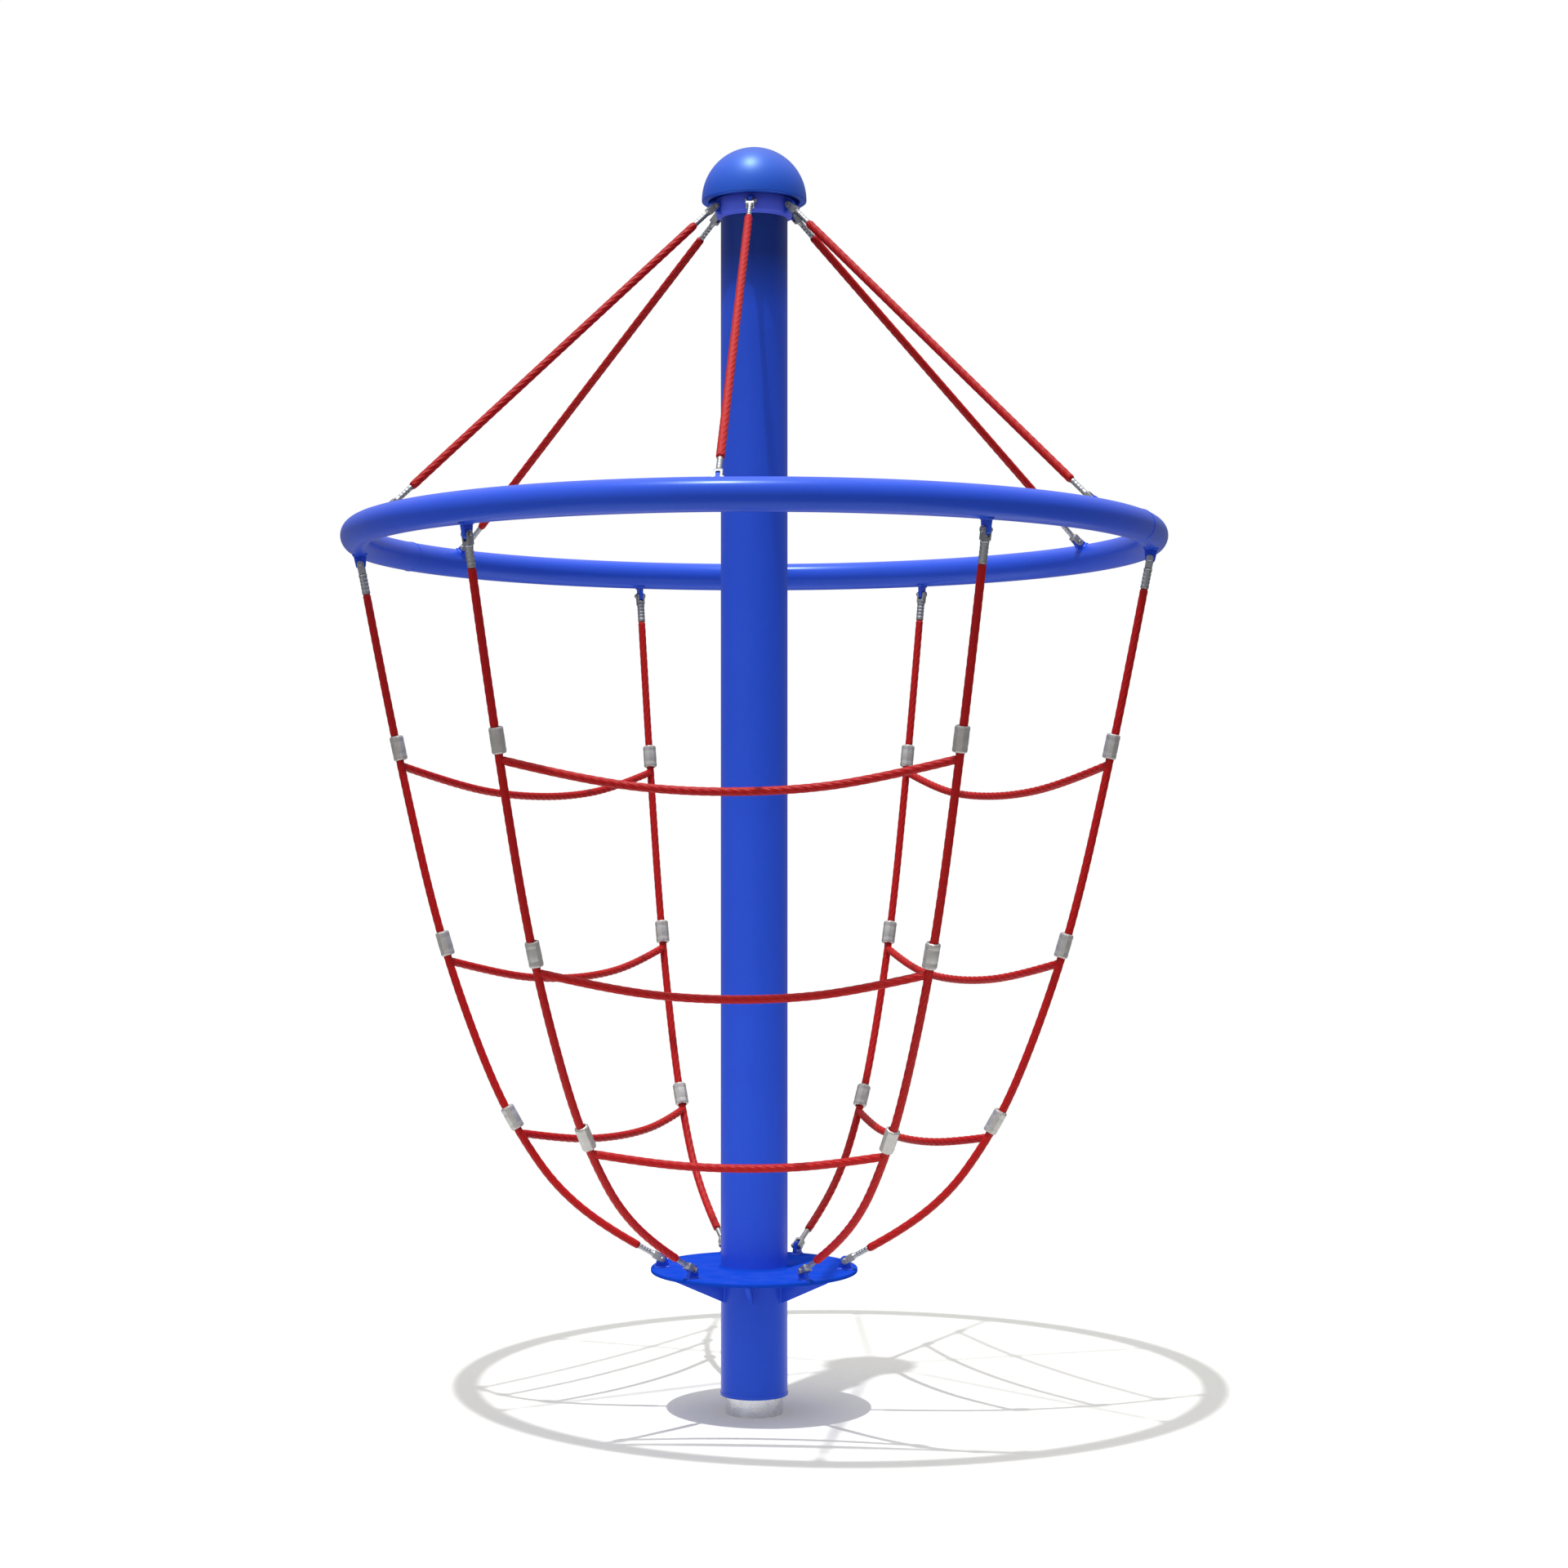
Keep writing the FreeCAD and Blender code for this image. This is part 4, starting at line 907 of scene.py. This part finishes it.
def fork_piece(name, length, shank):
    """A jaw round a lug and the swaged shank that holds the rope, from the pin along +X."""
    piece = flat_circle(name, FORK_HALF)
    choose(lambda centre, normal: centre.x > 1e-5)
    swell(0, 1, 1)
    shift(FORK_BODY - 0.002, 0, 0)
    bpy.ops.mesh.select_all(action="SELECT")
    bpy.ops.mesh.edge_face_add()
    shift(0, -FORK_OUTSIDE, 0)
    draw_out(0, 2 * FORK_OUTSIDE, 0)
    face_out()
    bevelled(piece, FORK_EDGE, 3, 50)
    slot = block(
        "slot", (-2 * FORK_HALF, -FORK_GAP, -2 * FORK_HALF), (FORK_JAW, FORK_GAP, 2 * FORK_HALF)
    )
    bevelled(slot, FORK_SLOT_EDGE, 3, 50)
    combined(piece, slot, "DIFFERENCE")
    hole = turned_piece("hole", [(PIN_HOLE, -0.02), (PIN_HOLE, 0.02)], 24)
    hole.rotation_euler = QUARTER
    combined(piece, hole, "DIFFERENCE")
    grip = shank * GRIP_DEPTH
    stations = [(shank * 0.9, FORK_JAW + 0.003), (FORK_NECK, FORK_JAW + 0.004)]
    stations += [(FORK_NECK, FORK_BODY - 0.002), (shank * 1.12, FORK_BODY)]
    stations += [(shank, FORK_BODY + 0.0015)]
    start = FORK_BODY + 0.005
    ring = (length - start - 0.004) / GRIP_COUNT
    for i in range(GRIP_COUNT):
        foot = start + ring * i
        stations += [(shank, foot), (grip, foot + GRIP_SLOPE), (grip, foot + ring * GRIP_SHARE)]
        stations += [(shank, foot + ring * GRIP_SHARE + GRIP_SLOPE)]
    stations += [(shank, length - 0.0014), (shank * 0.93, length - 0.0004), (shank * 0.8, length)]
    body = turned_piece("shank", stations, 32)
    body.rotation_euler = (0, math.pi / 2, 0)
    return combined(piece, body, "UNION")


class CLIMBER_OT_terminals(bpy.types.Operator):
    """Models the fork terminals at the ends of the ropes"""

    bl_idname = "climber.terminals"
    bl_label = "Rope terminals"

    def execute(self, context):
        upper = around(COLLAR_PIN, SUSPENSION_TURNS, tilt_along(FROM_COLLAR))
        upper += around(HOOP_UPPER_PIN, SUSPENSION_TURNS, tilt_along(-FROM_COLLAR))
        under = around(HOOP_LOWER_PIN, UPRIGHT_TURNS, tilt_along(FROM_HOOP))
        foot = around(FOOT_PIN, UPRIGHT_TURNS, tilt_along(FROM_FOOT))
        for name, length, shank, places in (
            ("suspension", SUSPENSION_TERMINAL, THIN_SHANK, upper),
            ("hoop", HOOP_TERMINAL, THICK_SHANK, under),
            ("foot", FOOT_TERMINAL, THIN_SHANK, foot),
        ):
            piece = repeated(fork_piece("fork", length, shank), places)
            finished(piece, f"{name}_forks", "terminal_steel", [f"{name}_terminals"])
        return {"FINISHED"}


class CLIMBER_OT_pins(bpy.types.Operator):
    """Models the headed pins through the forks and lugs"""

    bl_idname = "climber.pins"
    bl_label = "Pins"

    def execute(self, context):
        outside = FORK_OUTSIDE
        top = -outside - PIN_HEAD_THICKNESS
        stations = [(PIN_HEAD - 0.0010, top), (PIN_HEAD, top + 0.0007)]
        stations += [(PIN_HEAD, -outside - 0.0004), (PIN_HEAD - 0.0004, -outside)]
        stations += [(PIN_RADIUS, -outside), (PIN_RADIUS, outside + 0.0002)]
        stations += [(PIN_GROOVE, outside + 0.0002), (PIN_GROOVE, outside + 0.0014)]
        stations += [(PIN_RADIUS, outside + 0.0014), (PIN_RADIUS, outside + PIN_TAIL - 0.0008)]
        stations += [(PIN_GROOVE, outside + PIN_TAIL)]
        pin = turned_piece("pin", stations, 24)
        pin.rotation_euler = (-math.pi / 2, 0, 0)
        pin = joined([pin])
        places = around(COLLAR_PIN, SUSPENSION_TURNS) + around(HOOP_UPPER_PIN, SUSPENSION_TURNS)
        places += around(HOOP_LOWER_PIN, UPRIGHT_TURNS) + around(FOOT_PIN, UPRIGHT_TURNS)
        finished(repeated(pin, places), "headed_pins", "terminal_steel", ["clevis_pins"])
        return {"FINISHED"}


def rope_at_height(line, height):
    """Where a meridian line passes a height, and its direction there, upwards."""
    for a, b in zip(line, line[1:]):
        if min(a.z, b.z) <= height <= max(a.z, b.z):
            share = (height - a.z) / (b.z - a.z)
            rise = (a - b).normalized()
            return a.lerp(b, share), rise if rise.z > 0 else -rise
    raise ValueError("the rope doesn't reach this height")


class CLIMBER_OT_sleeves(bpy.types.Operator):
    """Models the pressed aluminium sleeves above the rungs' ends"""

    bl_idname = "climber.sleeves"
    bl_label = "Tee sleeves"

    def execute(self, context):
        lip = context.scene.climber_sizes.sleeve_edge
        corner = SLEEVE_WIDTH / 2 / math.cos(math.pi / SLEEVE_SIDES)
        half = SLEEVE_LENGTH / 2
        stations = [(SLEEVE_BORE, -half + SLEEVE_TURN_IN), (SLEEVE_BORE, -half)]
        stations += [(corner - lip, -half), (corner - lip * 0.3, -half + lip * 0.3)]
        stations += [(corner, -half + lip)]
        for middle in (-0.5 * half, 0.5 * half):
            for radius, along in (
                (corner, -SLEEVE_MARK_EDGE),
                (corner * SLEEVE_MARK, -SLEEVE_MARK_FLAT),
                (corner * SLEEVE_MARK, SLEEVE_MARK_FLAT),
                (corner, SLEEVE_MARK_EDGE),
            ):
                stations.append((radius, middle + along))
        stations += [(corner, half - lip), (corner - lip * 0.3, half - lip * 0.3)]
        stations += [(corner - lip, half), (SLEEVE_BORE, half)]
        stations += [(SLEEVE_BORE, half - SLEEVE_TURN_IN)]
        sleeve = turned_piece("sleeve", stations, SLEEVE_SIDES, "loop")
        sleeve.rotation_euler = (0, 0, math.pi / SLEEVE_SIDES)
        sleeve = joined([sleeve])
        work_on(sleeve)
        shift(-SLEEVE_OFFSET, 0, 0)
        bevelled(sleeve, lip * 0.45, 3, 18)
        sleeve.rotation_euler = (0, math.pi / 2, 0)
        sleeve = joined([sleeve])
        line = spline_line("upright_line", meridian_route(UPRIGHT_ROUTE, 0))
        places = []
        for level, distance, height, sag, draw, length in RUNG_LEVELS:
            rise = rope_at_height(line, height)[1]
            centre, rise = rope_at_height(line, height + SLEEVE_ABOVE * rise.z)
            places += around(centre, UPRIGHT_TURNS, tilt_along(rise))
        finished(repeated(sleeve, places), "pressed_sleeves", "sleeve_aluminium", ["tee_sleeves"])
        return {"FINISHED"}


# ---- mast, disc, collar, cap, hoop


def ring_bead(height, side):
    """A fillet weld round the mast, above (+1) or below (-1) what it holds."""
    stations = [(MAST_RADIUS + out, height + side * along) for out, along in RING_BEAD]
    return turned_piece("bead", stations, ROUND_SIDES, "loop")


class CLIMBER_OT_mast(bpy.types.Operator):
    """Models the turning mast tube"""

    bl_idname = "climber.mast"
    bl_label = "Mast"

    def execute(self, context):
        roll = MAST_ROLL
        lip = MAST_RADIUS + MAST_LIP - roll
        stations = [(MAST_BORE, MAST_BOTTOM + MAST_CHAMFER)]
        stations += [(MAST_BORE + MAST_CHAMFER * 0.8, MAST_BOTTOM)]
        stations += rolled(lip, MAST_BOTTOM + roll, roll, -90, 0)
        stations += rolled(lip, MAST_BOTTOM + MAST_LIP_HEIGHT, roll, 0, 60)
        stations += [(MAST_RADIUS, MAST_BOTTOM + MAST_LIP_END)]
        stations += [(MAST_RADIUS, height) for height in MAST_RINGS]
        stations += rolled(MAST_RADIUS - roll, MAST_TOP - roll, roll, 0, 90, 3)
        stations += [(MAST_BORE, MAST_TOP)]
        piece = turned_piece("mast_pipe", stations, ROUND_SIDES, "loop")
        # The mast's top carries the cap's painted shadow
        finished(piece, "mast_pipe", "mast_paint", ["mast_tube"], "shaded_mast_paint")
        return {"FINISHED"}


class CLIMBER_OT_foot_disc(bpy.types.Operator):
    """Models the foot disc with its rolled edge, and the gussets under it"""

    bl_idname = "climber.foot_disc"
    bl_label = "Foot disc"

    def execute(self, context):
        roll = DISC_ROLL
        stations = [(MAST_RADIUS - INTO_MAST, DISC_BOTTOM)]
        stations += rolled(DISC_RADIUS - roll, DISC_BOTTOM + roll, roll, -90, 0, 5)
        stations += rolled(DISC_RADIUS - roll, DISC_TOP - roll, roll, 0, 90, 5)
        stations += [(MAST_RADIUS - INTO_MAST, DISC_TOP)]
        disc = turned_piece("disc", stations, 144, "loop")
        piece = joined([disc, ring_bead(DISC_TOP, 1), ring_bead(DISC_BOTTOM, -1)])
        # The disc wears the darkened paint, painted shade against the light on its top
        finished(piece, "disc_with_rolled_edge", "mast_paint", ["foot_disc"], "disc_painted_shade")
        low = (MAST_RADIUS - 0.002, -GUSSET_HALF, DISC_BOTTOM - GUSSET_DROP)
        plate = block("gusset", low, (GUSSET_REACH, GUSSET_HALF, DISC_BOTTOM + 0.0003))
        work_on(plate)
        choose(lambda centre, normal: centre.x > 0.1 and centre.z < DISC_BOTTOM - 0.02)
        shift(0, 0, GUSSET_DROP - GUSSET_TOE)
        bevelled(plate, GUSSET_EDGE, 2, 30)
        shortened = GUSSET_REACH - 0.004
        under_disc = ((MAST_RADIUS + shortened) / 2, DISC_BOTTOM)
        on_mast = (MAST_RADIUS, DISC_BOTTOM - GUSSET_DROP / 2)
        beads = []
        for side in (-1, 1):
            for (x, z), length, lean in (
                (under_disc, shortened - MAST_RADIUS, math.pi / 2),
                (on_mast, GUSSET_DROP - 0.002, 0.0),
            ):
                put_down()
                bpy.ops.mesh.primitive_cylinder_add(
                    vertices=14, radius=GUSSET_BEAD, depth=length,
                    location=(x, side * GUSSET_BEAD_OUT, z), rotation=(0, lean, 0),
                )
                beads.append(bevelled(named("bead"), GUSSET_BEAD_ROUND, 3, 60))
        gusset = joined([plate] + beads)
        piece = repeated(gusset, [Matrix.Rotation(turn, 4, "Z") for turn in SUSPENSION_TURNS])
        finished(piece, "gusset_plates", "mast_paint", ["foot_gussets"])
        return {"FINISHED"}


class CLIMBER_OT_collar(bpy.types.Operator):
    """Models the thick collar under the cap"""

    bl_idname = "climber.collar"
    bl_label = "Top collar"

    def execute(self, context):
        lower, upper = COLLAR_LOWER_ROLL, COLLAR_UPPER_ROLL
        stations = [(MAST_RADIUS - INTO_MAST, COLLAR_BOTTOM)]
        stations += rolled(COLLAR_RADIUS - lower, COLLAR_BOTTOM + lower, lower, -90, 0, 4)
        stations += rolled(COLLAR_RADIUS - upper, COLLAR_TOP - upper, upper, 0, 90, 2)
        stations += [(MAST_RADIUS - INTO_MAST, COLLAR_TOP)]
        collar = turned_piece("collar", stations, ROUND_SIDES, "loop")
        piece = joined([collar, ring_bead(COLLAR_BOTTOM, -1)])
        # The collar wears the brightened paint, painted light standing in for light under the cap
        finished(piece, "collar_ring", "mast_paint", ["top_collar"], "collar_painted_light")
        return {"FINISHED"}


class CLIMBER_OT_cap(bpy.types.Operator):
    """Models the hollow dome with its rounded rim"""

    bl_idname = "climber.cap"
    bl_label = "Dome cap"

    def execute(self, context):
        inner = CAP_RADIUS - CAP_WALL
        corner = CAP_CORNER
        first = math.degrees(math.acos(CAP_BOSS / inner))
        last = math.degrees(math.acos(CAP_RIM_INSIDE / inner))
        stations = [(CAP_BOSS, MAST_TOP)]
        stations += rolled(0, CAP_CENTRE, inner, first, last, 16)
        stations += rolled(CAP_RIM_INSIDE + corner, CAP_RIM + corner, corner, 180, 270, 4)
        stations += rolled(CAP_RADIUS - corner, CAP_RIM + corner, corner, 270, 360, 4)
        stations += rolled(0, CAP_CENTRE, CAP_RADIUS, 0, 87, 30)
        stations += [(0, CAP_CENTRE + CAP_RADIUS)]
        piece = turned_piece("cap", stations, 128)
        finished(piece, "cap_shell", "cap_paint", ["dome_cap"])
        return {"FINISHED"}


class CLIMBER_OT_hoop(bpy.types.Operator):
    """Models the rolled hoop with its two weld seams"""

    bl_idname = "climber.hoop"
    bl_label = "Hoop"

    def execute(self, context):
        put_down()
        bpy.ops.mesh.primitive_torus_add(
            major_segments=256, minor_segments=48, major_radius=HOOP_RADIUS, minor_radius=HOOP_TUBE,
            location=(0, 0, HOOP_HEIGHT),
        )
        hoop = named("hoop")
        seams = []
        for turn in SEAM_TURNS:
            put_down()
            bpy.ops.mesh.primitive_torus_add(
                major_segments=64, minor_segments=12,
                major_radius=HOOP_TUBE - SEAM_SINK, minor_radius=SEAM_BEAD,
            )
            seam = named("seam")
            work_on(seam)
            swell(1, 1, SEAM_STRETCH)
            bpy.ops.object.mode_set(mode="OBJECT")
            upright = Matrix.Rotation(math.pi / 2, 4, "X")
            seam.matrix_world = on_meridian(HOOP_CENTRE, turn) @ upright
            seams.append(seam)
        halves = ["hoop_half_rear", "hoop_half_front"]
        finished(joined([hoop] + seams), "hoop_tube", "hoop_paint", halves)
        return {"FINISHED"}


# ---- solids kept from the frame

KEPT_SOLIDS = {
    "galvanised": ["anchor_flange", "anchor_gussets", "ground_post"],
    "machined_steel": [
        "post_head", "spindle", "lock_washer", "lock_nut", "lower_housing", "upper_housing",
        "bearing_circlips", "mast_top_plate", "cap_stud", "hoop_joint_sleeves",
    ],
    "bearing_steel": [
        "lower_inner_ring", "lower_outer_ring", "lower_balls", "upper_inner_ring",
        "upper_outer_ring", "upper_balls",
    ],
    "cage_brass": ["lower_cage", "upper_cage"],
    "seal_rubber": ["dust_seal"],
    "terminal_steel": ["pin_clips"],
}


class CLIMBER_OT_kept_solids(bpy.types.Operator):
    """Gives the post, the anchor and the bearings their finishes"""

    bl_idname = "climber.kept_solids"
    bl_label = "Post and bearings"

    def execute(self, context):
        for finish, nodes in KEPT_SOLIDS.items():
            for node in nodes:
                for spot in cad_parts[node].material_slots:
                    spot.material = finishes[finish]
        return {"FINISHED"}


class CLIMBER_OT_finishes(bpy.types.Operator):
    """Mixes the paint, zinc, steel, aluminium and rope finishes"""

    bl_idname = "climber.finishes"
    bl_label = "Finishes"

    def execute(self, context):
        finishes.update(make_finishes())
        return {"FINISHED"}


# ---- stage

CAMERA_PLACE = (0.4506, -5.4348, 1.1706)
CAMERA_TURN = math.radians(4.74)
CAMERA_LENS = 62.885
CAMERA_SENSOR = 36.0
CAMERA_REACH = 500.0
CAMERA_SHIFT = (0.01903, 0.02576)
SUN_FALL = Vector((0.151, 0.352, -1.733))
SUN_LEVEL = 2.7
SUN_SPREAD = math.radians(0.9)
KEY_SIDE = Vector((-0.75, -1.0, 0.35))
KEY_LEVEL = 0.34
SKY_RISE = 1.35
SKY_LOW = 0.22
FLOOR_SIZE = 3.6


def studio_air():
    """Soft light from above and from the front left, with plain white behind the object."""
    world = bpy.data.worlds.new("studio_air")
    board = Board(world)
    white = (1.0, 1.0, 1.0, 1.0)
    towards = board.node("ShaderNodeTexCoord", output="Generated")
    above = board.part(towards, "Z").above_zero()
    inputs = {0: towards, 1: tuple(KEY_SIDE.normalized())}
    side = board.node("ShaderNodeVectorMath", {"operation": "DOT_PRODUCT"}, inputs, output="Value")
    key = side.above_zero()
    level = above**2 * SKY_RISE + key**3 * KEY_LEVEL + SKY_LOW
    lit = board.node("ShaderNodeBackground", None, {"Color": white, "Strength": level})
    seen = board.node("ShaderNodeBackground", None, {"Color": white, "Strength": 1.0})
    direct = board.node("ShaderNodeLightPath", output="Is Camera Ray")
    air = board.node("ShaderNodeMixShader", None, {0: direct, 1: lit, 2: seen})
    board.node("ShaderNodeOutputWorld", None, {"Surface": air}, output=None)
    return world


class CLIMBER_OT_stage(bpy.types.Operator):
    """Sets up the camera, the pale floor and the soft studio light"""

    bl_idname = "climber.stage"
    bl_label = "Studio"

    def execute(self, context):
        scene = context.scene
        colours = scene.climber_colours
        lens = bpy.data.cameras.new("studio_camera")
        lens.lens = CAMERA_LENS
        lens.sensor_width = CAMERA_SENSOR
        lens.shift_x, lens.shift_y = CAMERA_SHIFT
        lens.clip_end = CAMERA_REACH
        camera = bpy.data.objects.new("studio_camera", lens)
        camera.location = CAMERA_PLACE
        camera.rotation_euler = (math.pi / 2, 0, CAMERA_TURN)
        scene.collection.objects.link(camera)
        scene.camera = camera
        put_down()
        bpy.ops.mesh.primitive_plane_add(size=FLOOR_SIZE)
        floor = named("studio_floor")
        board = Board(bpy.data.materials.new("studio_floor_paint"))
        cloud = board.noise(0.8, 3.0)
        base = board.mixed(cloud, solid(colours.floor, 0.985), solid(colours.floor, 1.0))
        floor.data.materials.append(board.surface(Base_Color=base, Roughness=0.9))
        scene.world = studio_air()
        sun = bpy.data.lights.new("studio_sun", "SUN")
        sun.energy = SUN_LEVEL
        sun.angle = SUN_SPREAD
        lamp = bpy.data.objects.new("studio_sun", sun)
        lamp.rotation_euler = SUN_FALL.to_track_quat("-Z", "Y").to_euler()
        scene.collection.objects.link(lamp)
        scene.view_settings.view_transform = "Standard"
        return {"FINISHED"}


# ---- add-on

STEPS = [
    CLIMBER_OT_finishes,
    CLIMBER_OT_stage,
    CLIMBER_OT_upright_ropes,
    CLIMBER_OT_suspension_ropes,
    CLIMBER_OT_rungs,
    CLIMBER_OT_hoop,
    CLIMBER_OT_mast,
    CLIMBER_OT_foot_disc,
    CLIMBER_OT_collar,
    CLIMBER_OT_cap,
    CLIMBER_OT_lugs,
    CLIMBER_OT_terminals,
    CLIMBER_OT_pins,
    CLIMBER_OT_sleeves,
    CLIMBER_OT_kept_solids,
]


class CLIMBER_PT_panel(bpy.types.Panel):
    """Lists the climber's pieces and settings"""

    bl_idname = "CLIMBER_PT_panel"
    bl_label = "Rope climber"
    bl_space_type = "VIEW_3D"
    bl_region_type = "UI"
    bl_category = "Climber"

    def draw(self, context):
        for settings in (context.scene.climber_sizes, context.scene.climber_colours):
            for name in settings.__annotations__:
                self.layout.prop(settings, name)
        for step in STEPS:
            self.layout.operator(step.bl_idname)


CLASSES = [ClimberSizes, ClimberColours] + STEPS + [CLIMBER_PT_panel]


def register():
    """Adds the classes and the scene's settings."""
    for kind in CLASSES:
        bpy.utils.register_class(kind)
    bpy.types.Scene.climber_sizes = PointerProperty(type=ClimberSizes)
    bpy.types.Scene.climber_colours = PointerProperty(type=ClimberColours)


def unregister():
    """Takes the settings and the classes away again."""
    del bpy.types.Scene.climber_colours
    del bpy.types.Scene.climber_sizes
    for kind in reversed(CLASSES):
        bpy.utils.unregister_class(kind)


def main():
    """Makes every piece in order."""
    register()
    bpy.ops.climber.finishes()
    bpy.ops.climber.stage()
    bpy.ops.climber.upright_ropes()
    bpy.ops.climber.suspension_ropes()
    bpy.ops.climber.rungs()
    bpy.ops.climber.hoop()
    bpy.ops.climber.mast()
    bpy.ops.climber.foot_disc()
    bpy.ops.climber.collar()
    bpy.ops.climber.cap()
    bpy.ops.climber.lugs()
    bpy.ops.climber.terminals()
    bpy.ops.climber.pins()
    bpy.ops.climber.sleeves()
    bpy.ops.climber.kept_solids()


if __name__ == "__main__":
    main()
